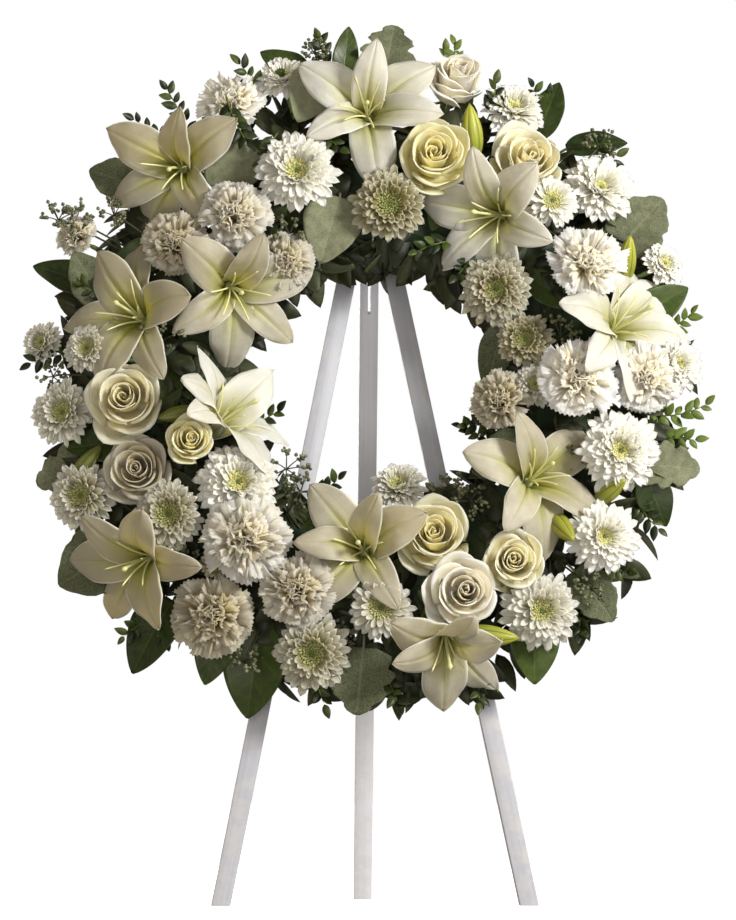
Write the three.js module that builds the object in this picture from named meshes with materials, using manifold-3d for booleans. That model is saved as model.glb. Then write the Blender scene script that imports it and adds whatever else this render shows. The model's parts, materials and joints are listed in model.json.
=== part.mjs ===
// Funeral wreath: lilies, roses, carnations and chrysanthemums with their stems pushed into a ring of
// floral foam, hanging on the head of a folding wooden easel with three legs.
// Millimetres, +Z up. The front faces -Y, +X is to the right of someone looking at the flowers, and
// the origin is on the floor, under the middle of the whole thing.

import * as THREE from 'three';
import { mergeVertices } from 'three/addons/utils/BufferGeometryUtils.js';
import Module from 'manifold-3d';

const wasm = await Module();
wasm.setup();
const rad = THREE.MathUtils.degToRad;

// ------------------------------------------------------------------ driving dimensions

// Easel: two front legs in one leaning plane, and a rear leg hinged behind their head.
const EASEL_LEAN = rad(12);
const APEX_HEIGHT = 727;
const FOOT_SPREAD = 148;
const LATH_WIDTH = 18;
const LATH_DEPTH = 12;
const HEAD_TOP = 8;
const REAR_LEG_ANGLE = rad(18);
const PIVOT_HEIGHT = 637;
const PIVOT_BEHIND = 27;
const SLOT_WIDTH = 2.6;
const SLOT_LENGTH = 60;
const PIN_RADIUS = 2;
const PIN_HEAD_RADIUS = 3.4;
const PIN_HEAD_DEPTH = 1.5;

// Head fittings, all fixed to the front legs.
const GUSSET_DEPTH = 6;
const GUSSET_HEIGHT = 72;
const TANG_THICKNESS = 2;
const BRACKET_WIDTH = 24;
const BRACKET_HEIGHT = 34;
const BRACKET_RAISED = 3;
const FIN_RADIUS = 8;
const FIN_SHOULDER = 6;
const FIN_CORNER = 2;
const BRACKET_SCREW_RADIUS = 4;
const BRACKET_SCREW_DEPTH = 2;
const BRACKET_SCREW_OFFSET = 7.2;
const HOOK_SHANK_RADIUS = 2;
const HOOK_HEAD_RADIUS = 5;
const HOOK_HEAD_DEPTH = 3;
const HOOK_REACH = 9;
const HOOK_ABOVE_RING = 246;

// Ring: a block of foam in a shallow tray, hung by a loop of wire round its top.
const RING_HEIGHT = 485;
const WREATH_LEAN = rad(11.5);
const TRAY_INNER = 150;
const TRAY_OUTER = 230;
const TRAY_WALL = 2;
const TRAY_RIM = 22;
const FOAM_TOP = 62;
const FOAM_CHAMFER = 8;
const RING_SIDES = 48;
const WIRE_RADIUS = 1;
const WIRE_CLEARANCE = 0.8;
const WIRE_KNUCKLE_RADIUS = 1.06;
const WIRE_EYE_RADIUS = 7;
const WIRE_EYE_HEIGHT = 1;

// Dome of flowers over the ring's middle circle, and the stems that carry them.
const MIDDLE_RADIUS = (TRAY_INNER + TRAY_OUTER) / 2;
const DOME_FOOT = 20;
const DOME_OUT = 135;
const DOME_IN = 100;
const BLOOM_RISE = 82;
const LILY_RISE = 62;
const LEAN_OUT = 0.45;
const STEM_ROOT = 36;
const STEM_RADIUS = 2.5;
const STEM_STOP = 12;
const STEM_IN_BLOOM = 4;
const HEAD_SIDES = 10;
const TEPAL_LENGTH = 80;
const TEPAL_HALF_WIDTHS = [20, 15];
const TEPAL_HALF_THICKNESS = 2.5;
const LILY_CUP_DEPTH = 12;
const LILY_CUP_TOP = 5;
const LILY_CUP_RADIUS = 7;

// Touching pieces keep this gap.
const GAP = 0.3;

// Laths are drawn this much too long and cut back, and cutting boxes and bars reach this far.
const SPARE = 40;
const FAR = 400;

// Blooms: [clock position in degrees, distance from the ring's centre, radius of the bloom, how far
// it stands proud of the dome]. The clock runs the way a watch does, seen from the front.
const ROSES = [
  [15, 330, 33, 0], [15, 232, 40, 4], [34, 270, 40, 4],
  [265, 241, 40, 6], [250, 190, 29, 18], [249, 246, 34, 0],
  [160, 163, 40, 2], [159, 228, 38, 12], [144, 223, 36, 4],
];
const CARNATIONS = [
  [335, 322, 34, 0], [320, 210, 35, 0], [305, 235, 32, -4], [61, 234, 36, 4],
  [90, 195, 38, 0], [98, 123, 28, 0], [218, 204, 42, 4], [214, 277, 38, 0],
  [200, 223, 35, 0], [89, 261, 34, -4], [324, 147, 28, -6],
];
const CHRYSANTHEMUMS = [
  [340, 218, 41, 6], [5, 176, 37, -6], [26, 317, 34, 0], [48, 296, 38, 0],
  [52, 150, 37, -8], [107, 244, 41, 4], [125, 266, 36, 0], [145, 274, 39, 0],
  [179, 226, 30, 4], [193, 274, 39, 0], [232, 168, 42, 0], [236, 239, 33, 0],
  [249, 301, 35, 0],
];

// Lilies: clock position and distance of the throat, turn to the right and nod upwards of the face,
// and the six tepals as [direction, opening from the flower's own axis], all angles in degrees.
const LILIES = [
  { clock: 359, reach: 273, turn: -5, nod: 5,
    tepals: [[30, 70], [80, 40], [145, 70], [215, 55], [280, 80], [350, 65]] },
  { clock: 320, reach: 288, turn: -20, nod: -10,
    tepals: [[30, 70], [70, 35], [145, 65], [205, 75], [240, 85], [305, 60]] },
  { clock: 286, reach: 232, turn: -30, nod: 5,
    tepals: [[5, 60], [95, 85], [120, 60], [185, 65], [245, 70], [295, 75]] },
  { clock: 305, reach: 168, turn: 15, nod: -20,
    tepals: [[20, 75], [75, 40], [145, 65], [220, 65], [270, 85], [320, 75]] },
  { clock: 254, reach: 161, turn: 50, nod: 30,
    tepals: [[40, 30], [110, 55], [165, 60], [195, 65], [275, 65], [340, 65]] },
  { clock: 232, reach: 274, turn: -35, nod: -20,
    tepals: [[55, 45], [130, 50], [170, 65], [225, 85], [290, 55], [350, 60]] },
  { clock: 184, reach: 165, turn: -10, nod: 0,
    tepals: [[20, 55], [55, 30], [130, 60], [185, 40], [235, 65], [300, 60]] },
  { clock: 123, reach: 177, turn: 20, nod: 5,
    tepals: [[40, 80], [125, 40], [170, 70], [235, 65], [275, 85], [325, 65]] },
  { clock: 36, reach: 209, turn: -25, nod: -15,
    tepals: [[35, 55], [90, 50], [160, 70], [215, 70], [265, 90], [330, 60]] },
  { clock: 77, reach: 237, turn: 35, nod: 15,
    tepals: [[40, 75], [70, 80], [175, 70], [225, 75], [275, 80], [350, 65]] },
  { clock: 165, reach: 253, turn: 5, nod: -45,
    tepals: [[30, 40], [75, 40], [150, 50], [180, 35], [270, 70], [315, 75]] },
];

// Huckleberry sprigs that reach past the flowers: [name, clock position, distance of the tip, height].
const SPRIGS = [
  ['left', 275, 336, 45], ['right', 92, 326, 45], ['top', 12, 366, 45], ['bottom', 189, 318, 55],
];
const SPRIG_START = 262;
const SPRIG_HALF_WIDTH = 13;
const SPRIG_HALF_THICKNESS = 1.5;
const SPRIG_KNEE_TURN = 4;
const SPRIG_KNEE_RISE = 6;
const SPRIG_STEM_INSIDE = 6;

const COLOURS = {
  white_paint: [0xe4e5ee, 0.45, 0],
  steel: [0xb9bcc0, 0.35, 1],
  tray: [0x2c4a33, 0.6, 0],
  foam: [0x3f6b45, 0.95, 0],
  lily: [0xf3f1de, 0.55, 0],
  rose: [0xf2eecb, 0.6, 0],
  carnation: [0xefe9d6, 0.75, 0],
  chrysanthemum: [0xf1f1e6, 0.65, 0],
  greenery: [0x3c5a2c, 0.5, 0],
};
const MATERIALS = Object.fromEntries(
  Object.entries(COLOURS).map(([name, [color, roughness, metalness]]) => [
    name, new THREE.MeshStandardMaterial({ name, color, roughness, metalness }),
  ]));

// ------------------------------------------------------------------ solids

// A closed three.js geometry, moved by a matrix, as a solid that can be cut and joined.
function solid(geometry, matrix = new THREE.Matrix4()) {
  const bare = new THREE.BufferGeometry();
  bare.setAttribute('position', geometry.attributes.position.clone());
  if (geometry.index) bare.setIndex(geometry.index.clone());
  const shared = mergeVertices(bare, 1e-4).applyMatrix4(matrix);
  const corners = shared.index.array;
  const triangles = [];
  for (let i = 0; i < corners.length; i += 3) {
    const [a, b, c] = [corners[i], corners[i + 1], corners[i + 2]];
    if (a !== b && b !== c && c !== a) triangles.push(a, b, c);
  }
  return new wasm.Manifold(new wasm.Mesh({
    numProp: 3,
    vertProperties: Float32Array.from(shared.attributes.position.array),
    triVerts: Uint32Array.from(triangles),
  }));
}

// A solid as a three.js geometry.
function geometryOf(body) {
  const { vertProperties, triVerts } = body.getMesh();
  const geometry = new THREE.BufferGeometry();
  geometry.setAttribute('position', new THREE.BufferAttribute(vertProperties, 3));
  geometry.setIndex(new THREE.BufferAttribute(triVerts, 1));
  geometry.computeVertexNormals();
  return geometry;
}

// The biggest connected piece of a solid.
function biggest(body) {
  return body.decompose().reduce((a, b) => (b.volume() > a.volume() ? b : a));
}

function box(xs, ys, zs) {
  const geometry = new THREE.BoxGeometry(xs[1] - xs[0], ys[1] - ys[0], zs[1] - zs[0]);
  geometry.translate((xs[0] + xs[1]) / 2, (ys[0] + ys[1]) / 2, (zs[0] + zs[1]) / 2);
  return geometry;
}

// A straight round bar between two points.
function bar(from, to, radius, sides) {
  const along = to.clone().sub(from);
  const geometry = new THREE.CylinderGeometry(radius, radius, along.length(), sides);
  const turn = new THREE.Quaternion().setFromUnitVectors(new THREE.Vector3(0, 1, 0), along.normalize());
  geometry.applyQuaternion(turn);
  geometry.translate(...from.clone().add(to).multiplyScalar(0.5).toArray());
  return geometry;
}

// A profile of [radius, height] points turned about +Z.
function turned(profile, sides) {
  const points = profile.map(([radius, height]) => new THREE.Vector2(radius, height));
  return new THREE.LatheGeometry(points, sides).rotateX(Math.PI / 2);
}

// A plate whose outline lies in the YZ plane, with its thickness along X about x = 0.
function uprightPlate(outline, thickness) {
  const plate = new THREE.ExtrudeGeometry(
    outline, { depth: thickness, bevelEnabled: false, curveSegments: 8 });
  plate.translate(0, 0, -thickness / 2);
  const yForX = new THREE.Matrix4().makeBasis(
    new THREE.Vector3(0, 1, 0), new THREE.Vector3(0, 0, 1), new THREE.Vector3(1, 0, 0));
  return plate.applyMatrix4(yForX);
}

// A pointed blade along a curve, flat behind and ridged in front: a tepal or a leafy sprig. Its thin
// edges grow four times as far as its faces, so that the grown blade holds the whole of the plain one.
function blade(midrib, face, width, thickness, grow) {
  const [halfWidth, halfThickness] = [width + 4 * grow, thickness + grow];
  const geometry = new THREE.ConeGeometry(1, 1, 3, 3);
  const place = geometry.attributes.position;
  const corner = new THREE.Vector3();
  for (let i = 0; i < place.count; i++) {
    corner.fromBufferAttribute(place, i);
    const t = THREE.MathUtils.clamp(corner.y + 0.5, 0, 1);
    const ring = Math.max(1 - t, 1e-6);
    const fullness = Math.sin(Math.PI * (0.12 + 0.88 * t));
    const along = midrib.getTangent(t);
    const up = face.clone().addScaledVector(along, -face.dot(along)).normalize();
    const across = along.clone().cross(up);
    const point = midrib.getPoint(t);
    point.addScaledVector(across, (corner.x / ring) * halfWidth * fullness);
    point.addScaledVector(up, (corner.z / ring) * halfThickness * Math.sqrt(Math.max(fullness, 0)));
    place.setXYZ(i, point.x, point.y, point.z);
  }
  return geometry;
}

function node(name, shape, material) {
  const geometry = shape instanceof wasm.Manifold ? geometryOf(shape) : shape;
  const mesh = new THREE.Mesh(geometry, MATERIALS[material]);
  mesh.name = name;
  return mesh;
}

const numbered = (name, index) => `${name}_${String(index + 1).padStart(2, '0')}`;

// ------------------------------------------------------------------ easel

// The front legs' plane: x across, y up along the slope from the floor, z out towards the viewer.
// The legs' front faces are at z = 0.
const APEX_ALONG = APEX_HEIGHT / Math.cos(EASEL_LEAN);
const LEG_ANGLE = Math.atan(FOOT_SPREAD / APEX_ALONG);
const HEAD_ALONG = APEX_ALONG + HEAD_TOP;
const RING_ALONG = RING_HEIGHT / Math.cos(EASEL_LEAN);
const HOOK_ALONG = RING_ALONG + HOOK_ABOVE_RING;

// Everything below the floor, in the leaning plane's own axes.
const BELOW_FLOOR = solid(
  box([-FAR, FAR], [-FAR, FAR], [-FAR, 0]),
  new THREE.Matrix4().makeRotationX(EASEL_LEAN - Math.PI / 2));
const HOOK_HOLE = solid(bar(
  new THREE.Vector3(0, HOOK_ALONG, -FAR), new THREE.Vector3(0, HOOK_ALONG, FAR),
  HOOK_SHANK_RADIUS + GAP, 12));

function frontLeg(side) {
  const lath = box(
    [-LATH_WIDTH / 2, LATH_WIDTH / 2], [-SPARE, APEX_ALONG + SPARE], [-LATH_DEPTH, 0]);
  lath.rotateZ(side * LEG_ANGLE);
  lath.translate(side * FOOT_SPREAD, 0, 0);
  const pastMitre = side < 0 ? [-GAP / 2, FAR] : [-FAR, GAP / 2];
  const otherHalf = box(pastMitre, [-FAR, 2 * FAR], [-FAR, FAR]);
  const aboveHead = box([-FAR, FAR], [HEAD_ALONG, HEAD_ALONG + FAR], [-FAR, FAR]);
  return solid(lath)
    .subtract(BELOW_FLOOR)
    .subtract(solid(otherHalf))
    .subtract(solid(aboveHead))
    .subtract(HOOK_HOLE);
}

// Plywood plate that joins the front legs behind their head.
function headGusset() {
  const halfWidthAt = (along) =>
    (APEX_ALONG - along) * Math.tan(LEG_ANGLE) + LATH_WIDTH / 2 / Math.cos(LEG_ANGLE);
  const foot = HEAD_ALONG - GUSSET_HEIGHT;
  const [halfFoot, halfHead] = [halfWidthAt(foot), halfWidthAt(HEAD_ALONG)];
  const outline = new THREE.Shape([
    new THREE.Vector2(-halfFoot, foot), new THREE.Vector2(halfFoot, foot),
    new THREE.Vector2(halfHead, HEAD_ALONG), new THREE.Vector2(-halfHead, HEAD_ALONG),
  ]);
  const plate = new THREE.ExtrudeGeometry(outline, { depth: GUSSET_DEPTH, bevelEnabled: false });
  plate.translate(0, 0, -LATH_DEPTH - GAP - GUSSET_DEPTH);
  return solid(plate).subtract(HOOK_HOLE);
}

// The pivot in the leaning plane's axes, and the back of the gusset that the bracket sits on.
const PIVOT = new THREE.Vector3(
  0, (PIVOT_HEIGHT + PIVOT_BEHIND * Math.sin(EASEL_LEAN)) / Math.cos(EASEL_LEAN), -PIVOT_BEHIND);
const GUSSET_BACK = -LATH_DEPTH - GAP - GUSSET_DEPTH;
const BRACKET_FOOT = HEAD_ALONG - GUSSET_HEIGHT + BRACKET_RAISED;
const PIN_HOLE = solid(bar(
  PIVOT.clone().setX(-FAR), PIVOT.clone().setX(FAR), PIN_RADIUS + GAP, 12));

// Steel plate on the gusset with a fin that reaches back and down to the pivot.
function hingeBracket() {
  const back = GUSSET_BACK - GAP;
  const front = back - TANG_THICKNESS;
  const top = BRACKET_FOOT + BRACKET_HEIGHT;
  const plate = box([-BRACKET_WIDTH / 2, BRACKET_WIDTH / 2], [BRACKET_FOOT, top], [front, back]);
  const fin = new THREE.Shape();
  fin.moveTo(top - FIN_SHOULDER, back - TANG_THICKNESS / 2);
  fin.lineTo(BRACKET_FOOT, back - TANG_THICKNESS / 2);
  fin.lineTo(PIVOT.y + FIN_CORNER, PIVOT.z + FIN_RADIUS);
  fin.absarc(PIVOT.y - FIN_SHOULDER, PIVOT.z, FIN_RADIUS, Math.PI / 2, 3 * Math.PI / 2, false);
  fin.lineTo(PIVOT.y + FIN_SHOULDER, PIVOT.z - FIN_RADIUS);
  return solid(plate)
    .add(solid(uprightPlate(fin, TANG_THICKNESS)))
    .subtract(PIN_HOLE);
}

function bracketScrew(side) {
  const front = GUSSET_BACK - 2 * GAP - TANG_THICKNESS;
  const head = (z) =>
    new THREE.Vector3(side * BRACKET_SCREW_OFFSET, BRACKET_FOOT + BRACKET_HEIGHT / 2, z);
  return bar(head(front - BRACKET_SCREW_DEPTH), head(front), BRACKET_SCREW_RADIUS, 12);
}

function hingePin() {
  const reach = LATH_WIDTH / 2 + GAP;
  const at = (x) => PIVOT.clone().setX(x);
  const shank = bar(at(-reach - PIN_HEAD_DEPTH / 2), at(reach + PIN_HEAD_DEPTH / 2), PIN_RADIUS, 12);
  const heads = [-1, 1].map((side) =>
    solid(bar(at(side * reach), at(side * (reach + PIN_HEAD_DEPTH)), PIN_HEAD_RADIUS, 12)));
  return heads.reduce((pin, head) => pin.add(head), solid(shank));
}

// Screw that the wire eye hangs on: it goes through the head into the gusset.
function hangerScrew() {
  const end = (z) => new THREE.Vector3(0, HOOK_ALONG, z);
  return solid(bar(end(GUSSET_BACK), end(HOOK_REACH), HOOK_SHANK_RADIUS, 12))
    .add(solid(bar(end(HOOK_REACH), end(HOOK_REACH + HOOK_HEAD_DEPTH), HOOK_HEAD_RADIUS, 12)));
}

// The rear leg stands in the YZ plane below the pivot, forked at its top for the fin.
function rearLeg(pivotWorld) {
  const half = LATH_DEPTH / 2;
  const across = new THREE.Vector2(Math.cos(REAR_LEG_ANGLE), Math.sin(REAR_LEG_ANGLE));
  const down = new THREE.Vector2(Math.sin(REAR_LEG_ANGLE), -Math.cos(REAR_LEG_ANGLE));
  const pivot = new THREE.Vector2(pivotWorld.y, pivotWorld.z);
  const front = pivot.clone().addScaledVector(across, -half);
  const back = pivot.clone().addScaledVector(across, half);
  const onFloor = (point) => point.clone().addScaledVector(down, -point.y / down.y);
  const outline = new THREE.Shape();
  outline.moveTo(...onFloor(front).toArray());
  outline.lineTo(...onFloor(back).toArray());
  outline.lineTo(...back.toArray());
  outline.absarc(pivot.x, pivot.y, half, REAR_LEG_ANGLE, REAR_LEG_ANGLE + Math.PI, false);
  const slot = box([-SLOT_WIDTH / 2, SLOT_WIDTH / 2], [-2 * half, 2 * half], [-SLOT_LENGTH, 2 * half]);
  slot.rotateX(REAR_LEG_ANGLE);
  slot.translate(0, pivot.x, pivot.y);
  const pinHole = bar(
    pivotWorld.clone().setX(-FAR), pivotWorld.clone().setX(FAR), PIN_RADIUS + GAP, 12);
  return solid(uprightPlate(outline, LATH_WIDTH)).subtract(solid(slot)).subtract(solid(pinHole));
}

// ------------------------------------------------------------------ ring

// The wreath's own axes: origin at the ring's centre on the tray's back, x across, y up, z out
// towards the viewer.
function clockPoint(clock, reach, z) {
  return new THREE.Vector3(reach * Math.sin(rad(clock)), reach * Math.cos(rad(clock)), z);
}

function ringTray() {
  const outer = TRAY_OUTER - TRAY_WALL;
  const inner = TRAY_INNER + TRAY_WALL;
  return solid(turned([
    [TRAY_INNER, 0], [TRAY_OUTER, 0], [TRAY_OUTER, TRAY_RIM], [outer, TRAY_RIM],
    [outer, TRAY_WALL], [inner, TRAY_WALL], [inner, TRAY_RIM], [TRAY_INNER, TRAY_RIM], [TRAY_INNER, 0],
  ], RING_SIDES));
}

function foamRing() {
  const outer = TRAY_OUTER - TRAY_WALL - GAP;
  const inner = TRAY_INNER + TRAY_WALL + GAP;
  const back = TRAY_WALL + GAP;
  return solid(turned([
    [inner, back], [outer, back], [outer, FOAM_TOP - FOAM_CHAMFER], [outer - FOAM_CHAMFER, FOAM_TOP],
    [inner + FOAM_CHAMFER, FOAM_TOP], [inner, FOAM_TOP - FOAM_CHAMFER], [inner, back],
  ], RING_SIDES));
}

// A loop round the ring's section at the top, with an eye that hangs on the easel's screw.
function hangerWire() {
  const clear = WIRE_RADIUS + WIRE_CLEARANCE;
  const eyeDrop = WIRE_EYE_RADIUS - WIRE_RADIUS - HOOK_SHANK_RADIUS - GAP;
  const eyeMiddle = HOOK_ABOVE_RING - eyeDrop;
  const corners = [
    [eyeMiddle - WIRE_EYE_RADIUS, WIRE_EYE_HEIGHT], [TRAY_OUTER + clear, FOAM_TOP + clear],
    [TRAY_INNER - clear, FOAM_TOP + clear], [TRAY_INNER - clear, -clear], [TRAY_OUTER + clear, -clear],
  ].map(([y, z]) => new THREE.Vector3(0, y, z));
  const eye = new THREE.TorusGeometry(WIRE_EYE_RADIUS, WIRE_RADIUS, 6, 16);
  eye.translate(0, eyeMiddle, WIRE_EYE_HEIGHT);
  return corners.reduce((wire, corner, i) => {
    const next = corners[(i + 1) % corners.length];
    const knuckle = new THREE.IcosahedronGeometry(WIRE_KNUCKLE_RADIUS, 0);
    knuckle.translate(...corner.toArray());
    return wire.add(solid(bar(corner, next, WIRE_RADIUS, 6))).add(solid(knuckle));
  }, solid(eye));
}

// ------------------------------------------------------------------ flowers

// Height of the dome and its outward lean at a distance from the ring's centre.
function domeAt(reach, rise) {
  const span = reach > MIDDLE_RADIUS ? DOME_OUT : DOME_IN;
  const share = THREE.MathUtils.clamp((reach - MIDDLE_RADIUS) / span, -0.97, 0.97);
  return { height: DOME_FOOT + rise * Math.sqrt(1 - share * share), lean: LEAN_OUT * Math.asin(share) };
}

// Right, up and forward axes of a flower that faces a way, at a place.
function standing(place, face) {
  const right = new THREE.Vector3(0, 1, 0).cross(face).normalize();
  return new THREE.Matrix4().makeBasis(right, face.clone().cross(right), face).setPosition(place);
}

// Turned heads, as [distance from the axis, height over the widest place] in shares of the radius.
const HEADS = {
  rose: [[0.2, -0.75], [0.7, -0.4], [1, 0], [0.86, 0.28], [0.45, 0.38]],
  carnation: [[0.2, -0.85], [0.3, -0.4], [0.9, -0.15], [1, 0.05], [0.75, 0.4], [0.3, 0.52]],
  chrysanthemum: [[0.22, -0.35], [0.8, -0.15], [1, 0.08], [0.7, 0.27], [0.3, 0.3]],
};

function bloom(kind, [clock, reach, radius, proud]) {
  const { height, lean } = domeAt(reach, BLOOM_RISE);
  const place = clockPoint(clock, reach, height + proud);
  const face = clockPoint(clock, Math.sin(lean), Math.cos(lean));
  const profile = HEADS[kind].map(([out, height]) => [out * radius, height * radius]);
  const lowest = profile[0][1];
  const highest = profile[profile.length - 1][1];
  const head = (grow) => solid(turned([
    [0, lowest - grow],
    ...profile.map(([out, z]) => [out + grow, z + (z > 1 ? grow : -grow)]),
    [0, highest + grow],
  ], HEAD_SIDES), standing(place, face));
  const neck = place.clone().addScaledVector(face, lowest + STEM_IN_BLOOM);
  return { kind, clock, place, head, neck };
}

function lily({ clock, reach, turn, nod, tepals }) {
  const { height } = domeAt(reach, LILY_RISE);
  const place = clockPoint(clock, reach, height);
  const face = new THREE.Vector3(0, 0, 1).applyEuler(new THREE.Euler(-rad(nod), rad(turn), 0, 'YXZ'));
  const [right, up] = [new THREE.Vector3(), new THREE.Vector3()];
  standing(place, face).extractBasis(right, up, new THREE.Vector3());
  const neck = place.clone().addScaledVector(face, -LILY_CUP_DEPTH);
  const between = (a, b, angle) =>
    a.clone().multiplyScalar(Math.cos(rad(angle))).addScaledVector(b, Math.sin(rad(angle)));
  const tepal = ([direction, opening], index, grow) => {
    const out = between(right, up, direction);
    const length = TEPAL_LENGTH + grow;
    const chord = between(face, out, opening);
    const lift = between(face, out, opening - 90);
    const tip = place.clone().addScaledVector(chord, length);
    const knee = place.clone().addScaledVector(chord, length / 2).addScaledVector(lift, length / 4);
    const midrib = new THREE.QuadraticBezierCurve3(place, knee, tip);
    return solid(blade(midrib, lift, TEPAL_HALF_WIDTHS[index % 2], TEPAL_HALF_THICKNESS, grow));
  };
  const head = (grow) => tepals.reduce(
    (flower, each, index) => flower.add(tepal(each, index, grow)),
    solid(bar(neck, place.clone().addScaledVector(face, LILY_CUP_TOP), LILY_CUP_RADIUS + grow, 6)));
  return { kind: 'lily', clock, place, head, neck };
}

function sprig([, clock, reach, height]) {
  const tip = clockPoint(clock, reach, height);
  const neck = clockPoint(clock, SPRIG_START, height);
  const knee = clockPoint(
    clock + SPRIG_KNEE_TURN, (SPRIG_START + reach) / 2, height + SPRIG_KNEE_RISE);
  const head = (grow) => solid(blade(
    new THREE.QuadraticBezierCurve3(neck, knee, tip), new THREE.Vector3(0, 0, 1),
    SPRIG_HALF_WIDTH, SPRIG_HALF_THICKNESS, grow));
  const stemEnd = clockPoint(clock, SPRIG_START + SPRIG_STEM_INSIDE, height);
  return { kind: 'sprig', clock, place: tip, head, neck: stemEnd };
}

// A stem runs from the neck of its flower towards the middle of the foam.
function stemOf({ clock, neck }, grow) {
  const root = clockPoint(clock, MIDDLE_RADIUS, STEM_ROOT);
  const inward = neck.clone().sub(root).normalize();
  return solid(bar(root.addScaledVector(inward, STEM_STOP - grow), neck, STEM_RADIUS + grow, 6));
}

// Heads in front keep their shape and the ones behind give way to them, and every head gives way
// to the stems that pass it.
function arrange(flowers) {
  const frontFirst = [...flowers].sort((a, b) => b.place.z - a.place.z);
  const done = [];
  for (const flower of frontFirst) {
    const own = stemOf(flower, 0);
    const others = flowers.filter((other) => other !== flower);
    let head = flower.head(0);
    for (const other of others) head = head.subtract(stemOf(other, GAP));
    for (const other of done) head = head.subtract(other.head(GAP));
    const shape = biggest(head.add(own));
    done.push({ ...flower, shape });
  }
  return flowers.map((flower) => done.find((each) => each.name === flower.name));
}

// ------------------------------------------------------------------ assembly

const FLOWERS = arrange([
  ...LILIES.map((spec, i) => ({ name: numbered('lily', i), ...lily(spec) })),
  ...ROSES.map((spec, i) => ({ name: numbered('rose', i), ...bloom('rose', spec) })),
  ...CARNATIONS.map((spec, i) => ({ name: numbered('carnation', i), ...bloom('carnation', spec) })),
  ...CHRYSANTHEMUMS.map((spec, i) => (
    { name: numbered('chrysanthemum', i), ...bloom('chrysanthemum', spec) })),
  ...SPRIGS.map((spec) => ({ name: `huckleberry_sprig_${spec[0]}`, ...sprig(spec) })),
]);

const wreath = new THREE.Group();
wreath.rotation.x = EASEL_LEAN - WREATH_LEAN;
wreath.position.set(0, RING_ALONG, GAP + TRAY_OUTER * Math.sin(EASEL_LEAN - WREATH_LEAN));
const stems = FLOWERS.map((flower) => stemOf(flower, GAP));
wreath.add(
  node('ring_tray', stems.reduce((tray, stem) => tray.subtract(stem), ringTray()), 'tray'),
  node('foam_ring', stems.reduce((foam, stem) => foam.subtract(stem), foamRing()), 'foam'),
  node('hanger_wire', hangerWire(), 'steel'));
for (const { name, kind, shape } of FLOWERS) {
  wreath.add(node(name, shape, kind === 'sprig' ? 'greenery' : kind));
}

const front = new THREE.Group();
front.rotation.x = Math.PI / 2 - EASEL_LEAN;
front.add(
  node('front_leg_left', frontLeg(-1), 'white_paint'),
  node('front_leg_right', frontLeg(1), 'white_paint'),
  node('head_gusset', headGusset(), 'white_paint'),
  node('hinge_bracket', hingeBracket(), 'steel'),
  node('bracket_screw_left', bracketScrew(-1), 'steel'),
  node('bracket_screw_right', bracketScrew(1), 'steel'),
  node('hinge_pin', hingePin(), 'steel'),
  node('hanger_screw', hangerScrew(), 'steel'),
  wreath);
front.updateMatrixWorld(true);

const easel = new THREE.Group();
easel.add(front, node('rear_leg', rearLeg(PIVOT.clone().applyMatrix4(front.matrixWorld)), 'white_paint'));

// The whole thing is moved so that the origin is under its middle.
easel.updateMatrixWorld(true);
const extent = new THREE.Box3().setFromObject(easel, true);
easel.position.y = -(extent.min.y + extent.max.y) / 2;

export default easel;
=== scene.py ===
import json
import math

import bpy
import numpy as np
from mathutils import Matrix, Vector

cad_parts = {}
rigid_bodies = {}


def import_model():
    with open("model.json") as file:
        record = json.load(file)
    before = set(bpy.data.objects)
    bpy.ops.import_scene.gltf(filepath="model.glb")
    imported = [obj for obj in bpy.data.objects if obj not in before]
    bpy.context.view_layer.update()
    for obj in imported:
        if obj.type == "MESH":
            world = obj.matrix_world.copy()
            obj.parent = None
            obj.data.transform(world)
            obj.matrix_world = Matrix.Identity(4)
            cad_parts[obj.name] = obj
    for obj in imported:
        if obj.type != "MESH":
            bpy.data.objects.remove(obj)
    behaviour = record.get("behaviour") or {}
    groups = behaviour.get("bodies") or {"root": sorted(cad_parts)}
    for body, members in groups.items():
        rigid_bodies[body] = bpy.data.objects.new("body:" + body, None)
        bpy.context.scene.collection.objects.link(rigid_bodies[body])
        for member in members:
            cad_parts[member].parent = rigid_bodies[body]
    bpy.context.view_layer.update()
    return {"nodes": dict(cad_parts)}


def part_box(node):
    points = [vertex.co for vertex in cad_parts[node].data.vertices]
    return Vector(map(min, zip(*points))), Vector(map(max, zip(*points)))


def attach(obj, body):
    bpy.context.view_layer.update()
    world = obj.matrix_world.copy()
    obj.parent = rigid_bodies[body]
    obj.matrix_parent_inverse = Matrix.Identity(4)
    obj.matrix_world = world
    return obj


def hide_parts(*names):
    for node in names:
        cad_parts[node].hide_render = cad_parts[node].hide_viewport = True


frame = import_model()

# ---------------------------------------------------------------- easel
# Two front legs, mitred at the head and joined behind by a plywood gusset, and a forked rear leg.
# They are softwood laths with their arrises rubbed down, sprayed with white satin paint. The front
# legs and gusset get a greyer coat than the rear leg: painted light, dimming the lamp-lit front and
# lifting the rear leg out of the wreath's shade.

LATH_ARRIS = 0.0009
GUSSET_ARRIS = 0.0005
WELD_GAP = 0.00002
FLAT_ANGLE = math.radians(1)
EASED_ANGLE = math.radians(38)
SMOOTH_ANGLE = math.radians(35)
# Painted light: the front coat and its grain colour are dimmed for the key lamp, and the rear coat and
# its grain colour are lit up for the shade the rear leg stands in.
PAINT = (0.48, 0.49, 0.545, 1)
REAR_PAINT_LIT_UP_FOR_SHADE = (0.86, 0.87, 0.94, 1)
REAR_GRAIN_LIT_UP_FOR_SHADE = (0.79, 0.80, 0.87, 1)
PAINT_SHADE = (0.42, 0.43, 0.485, 1)
BARE_ARRIS = (0.60, 0.57, 0.53, 1)


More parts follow.
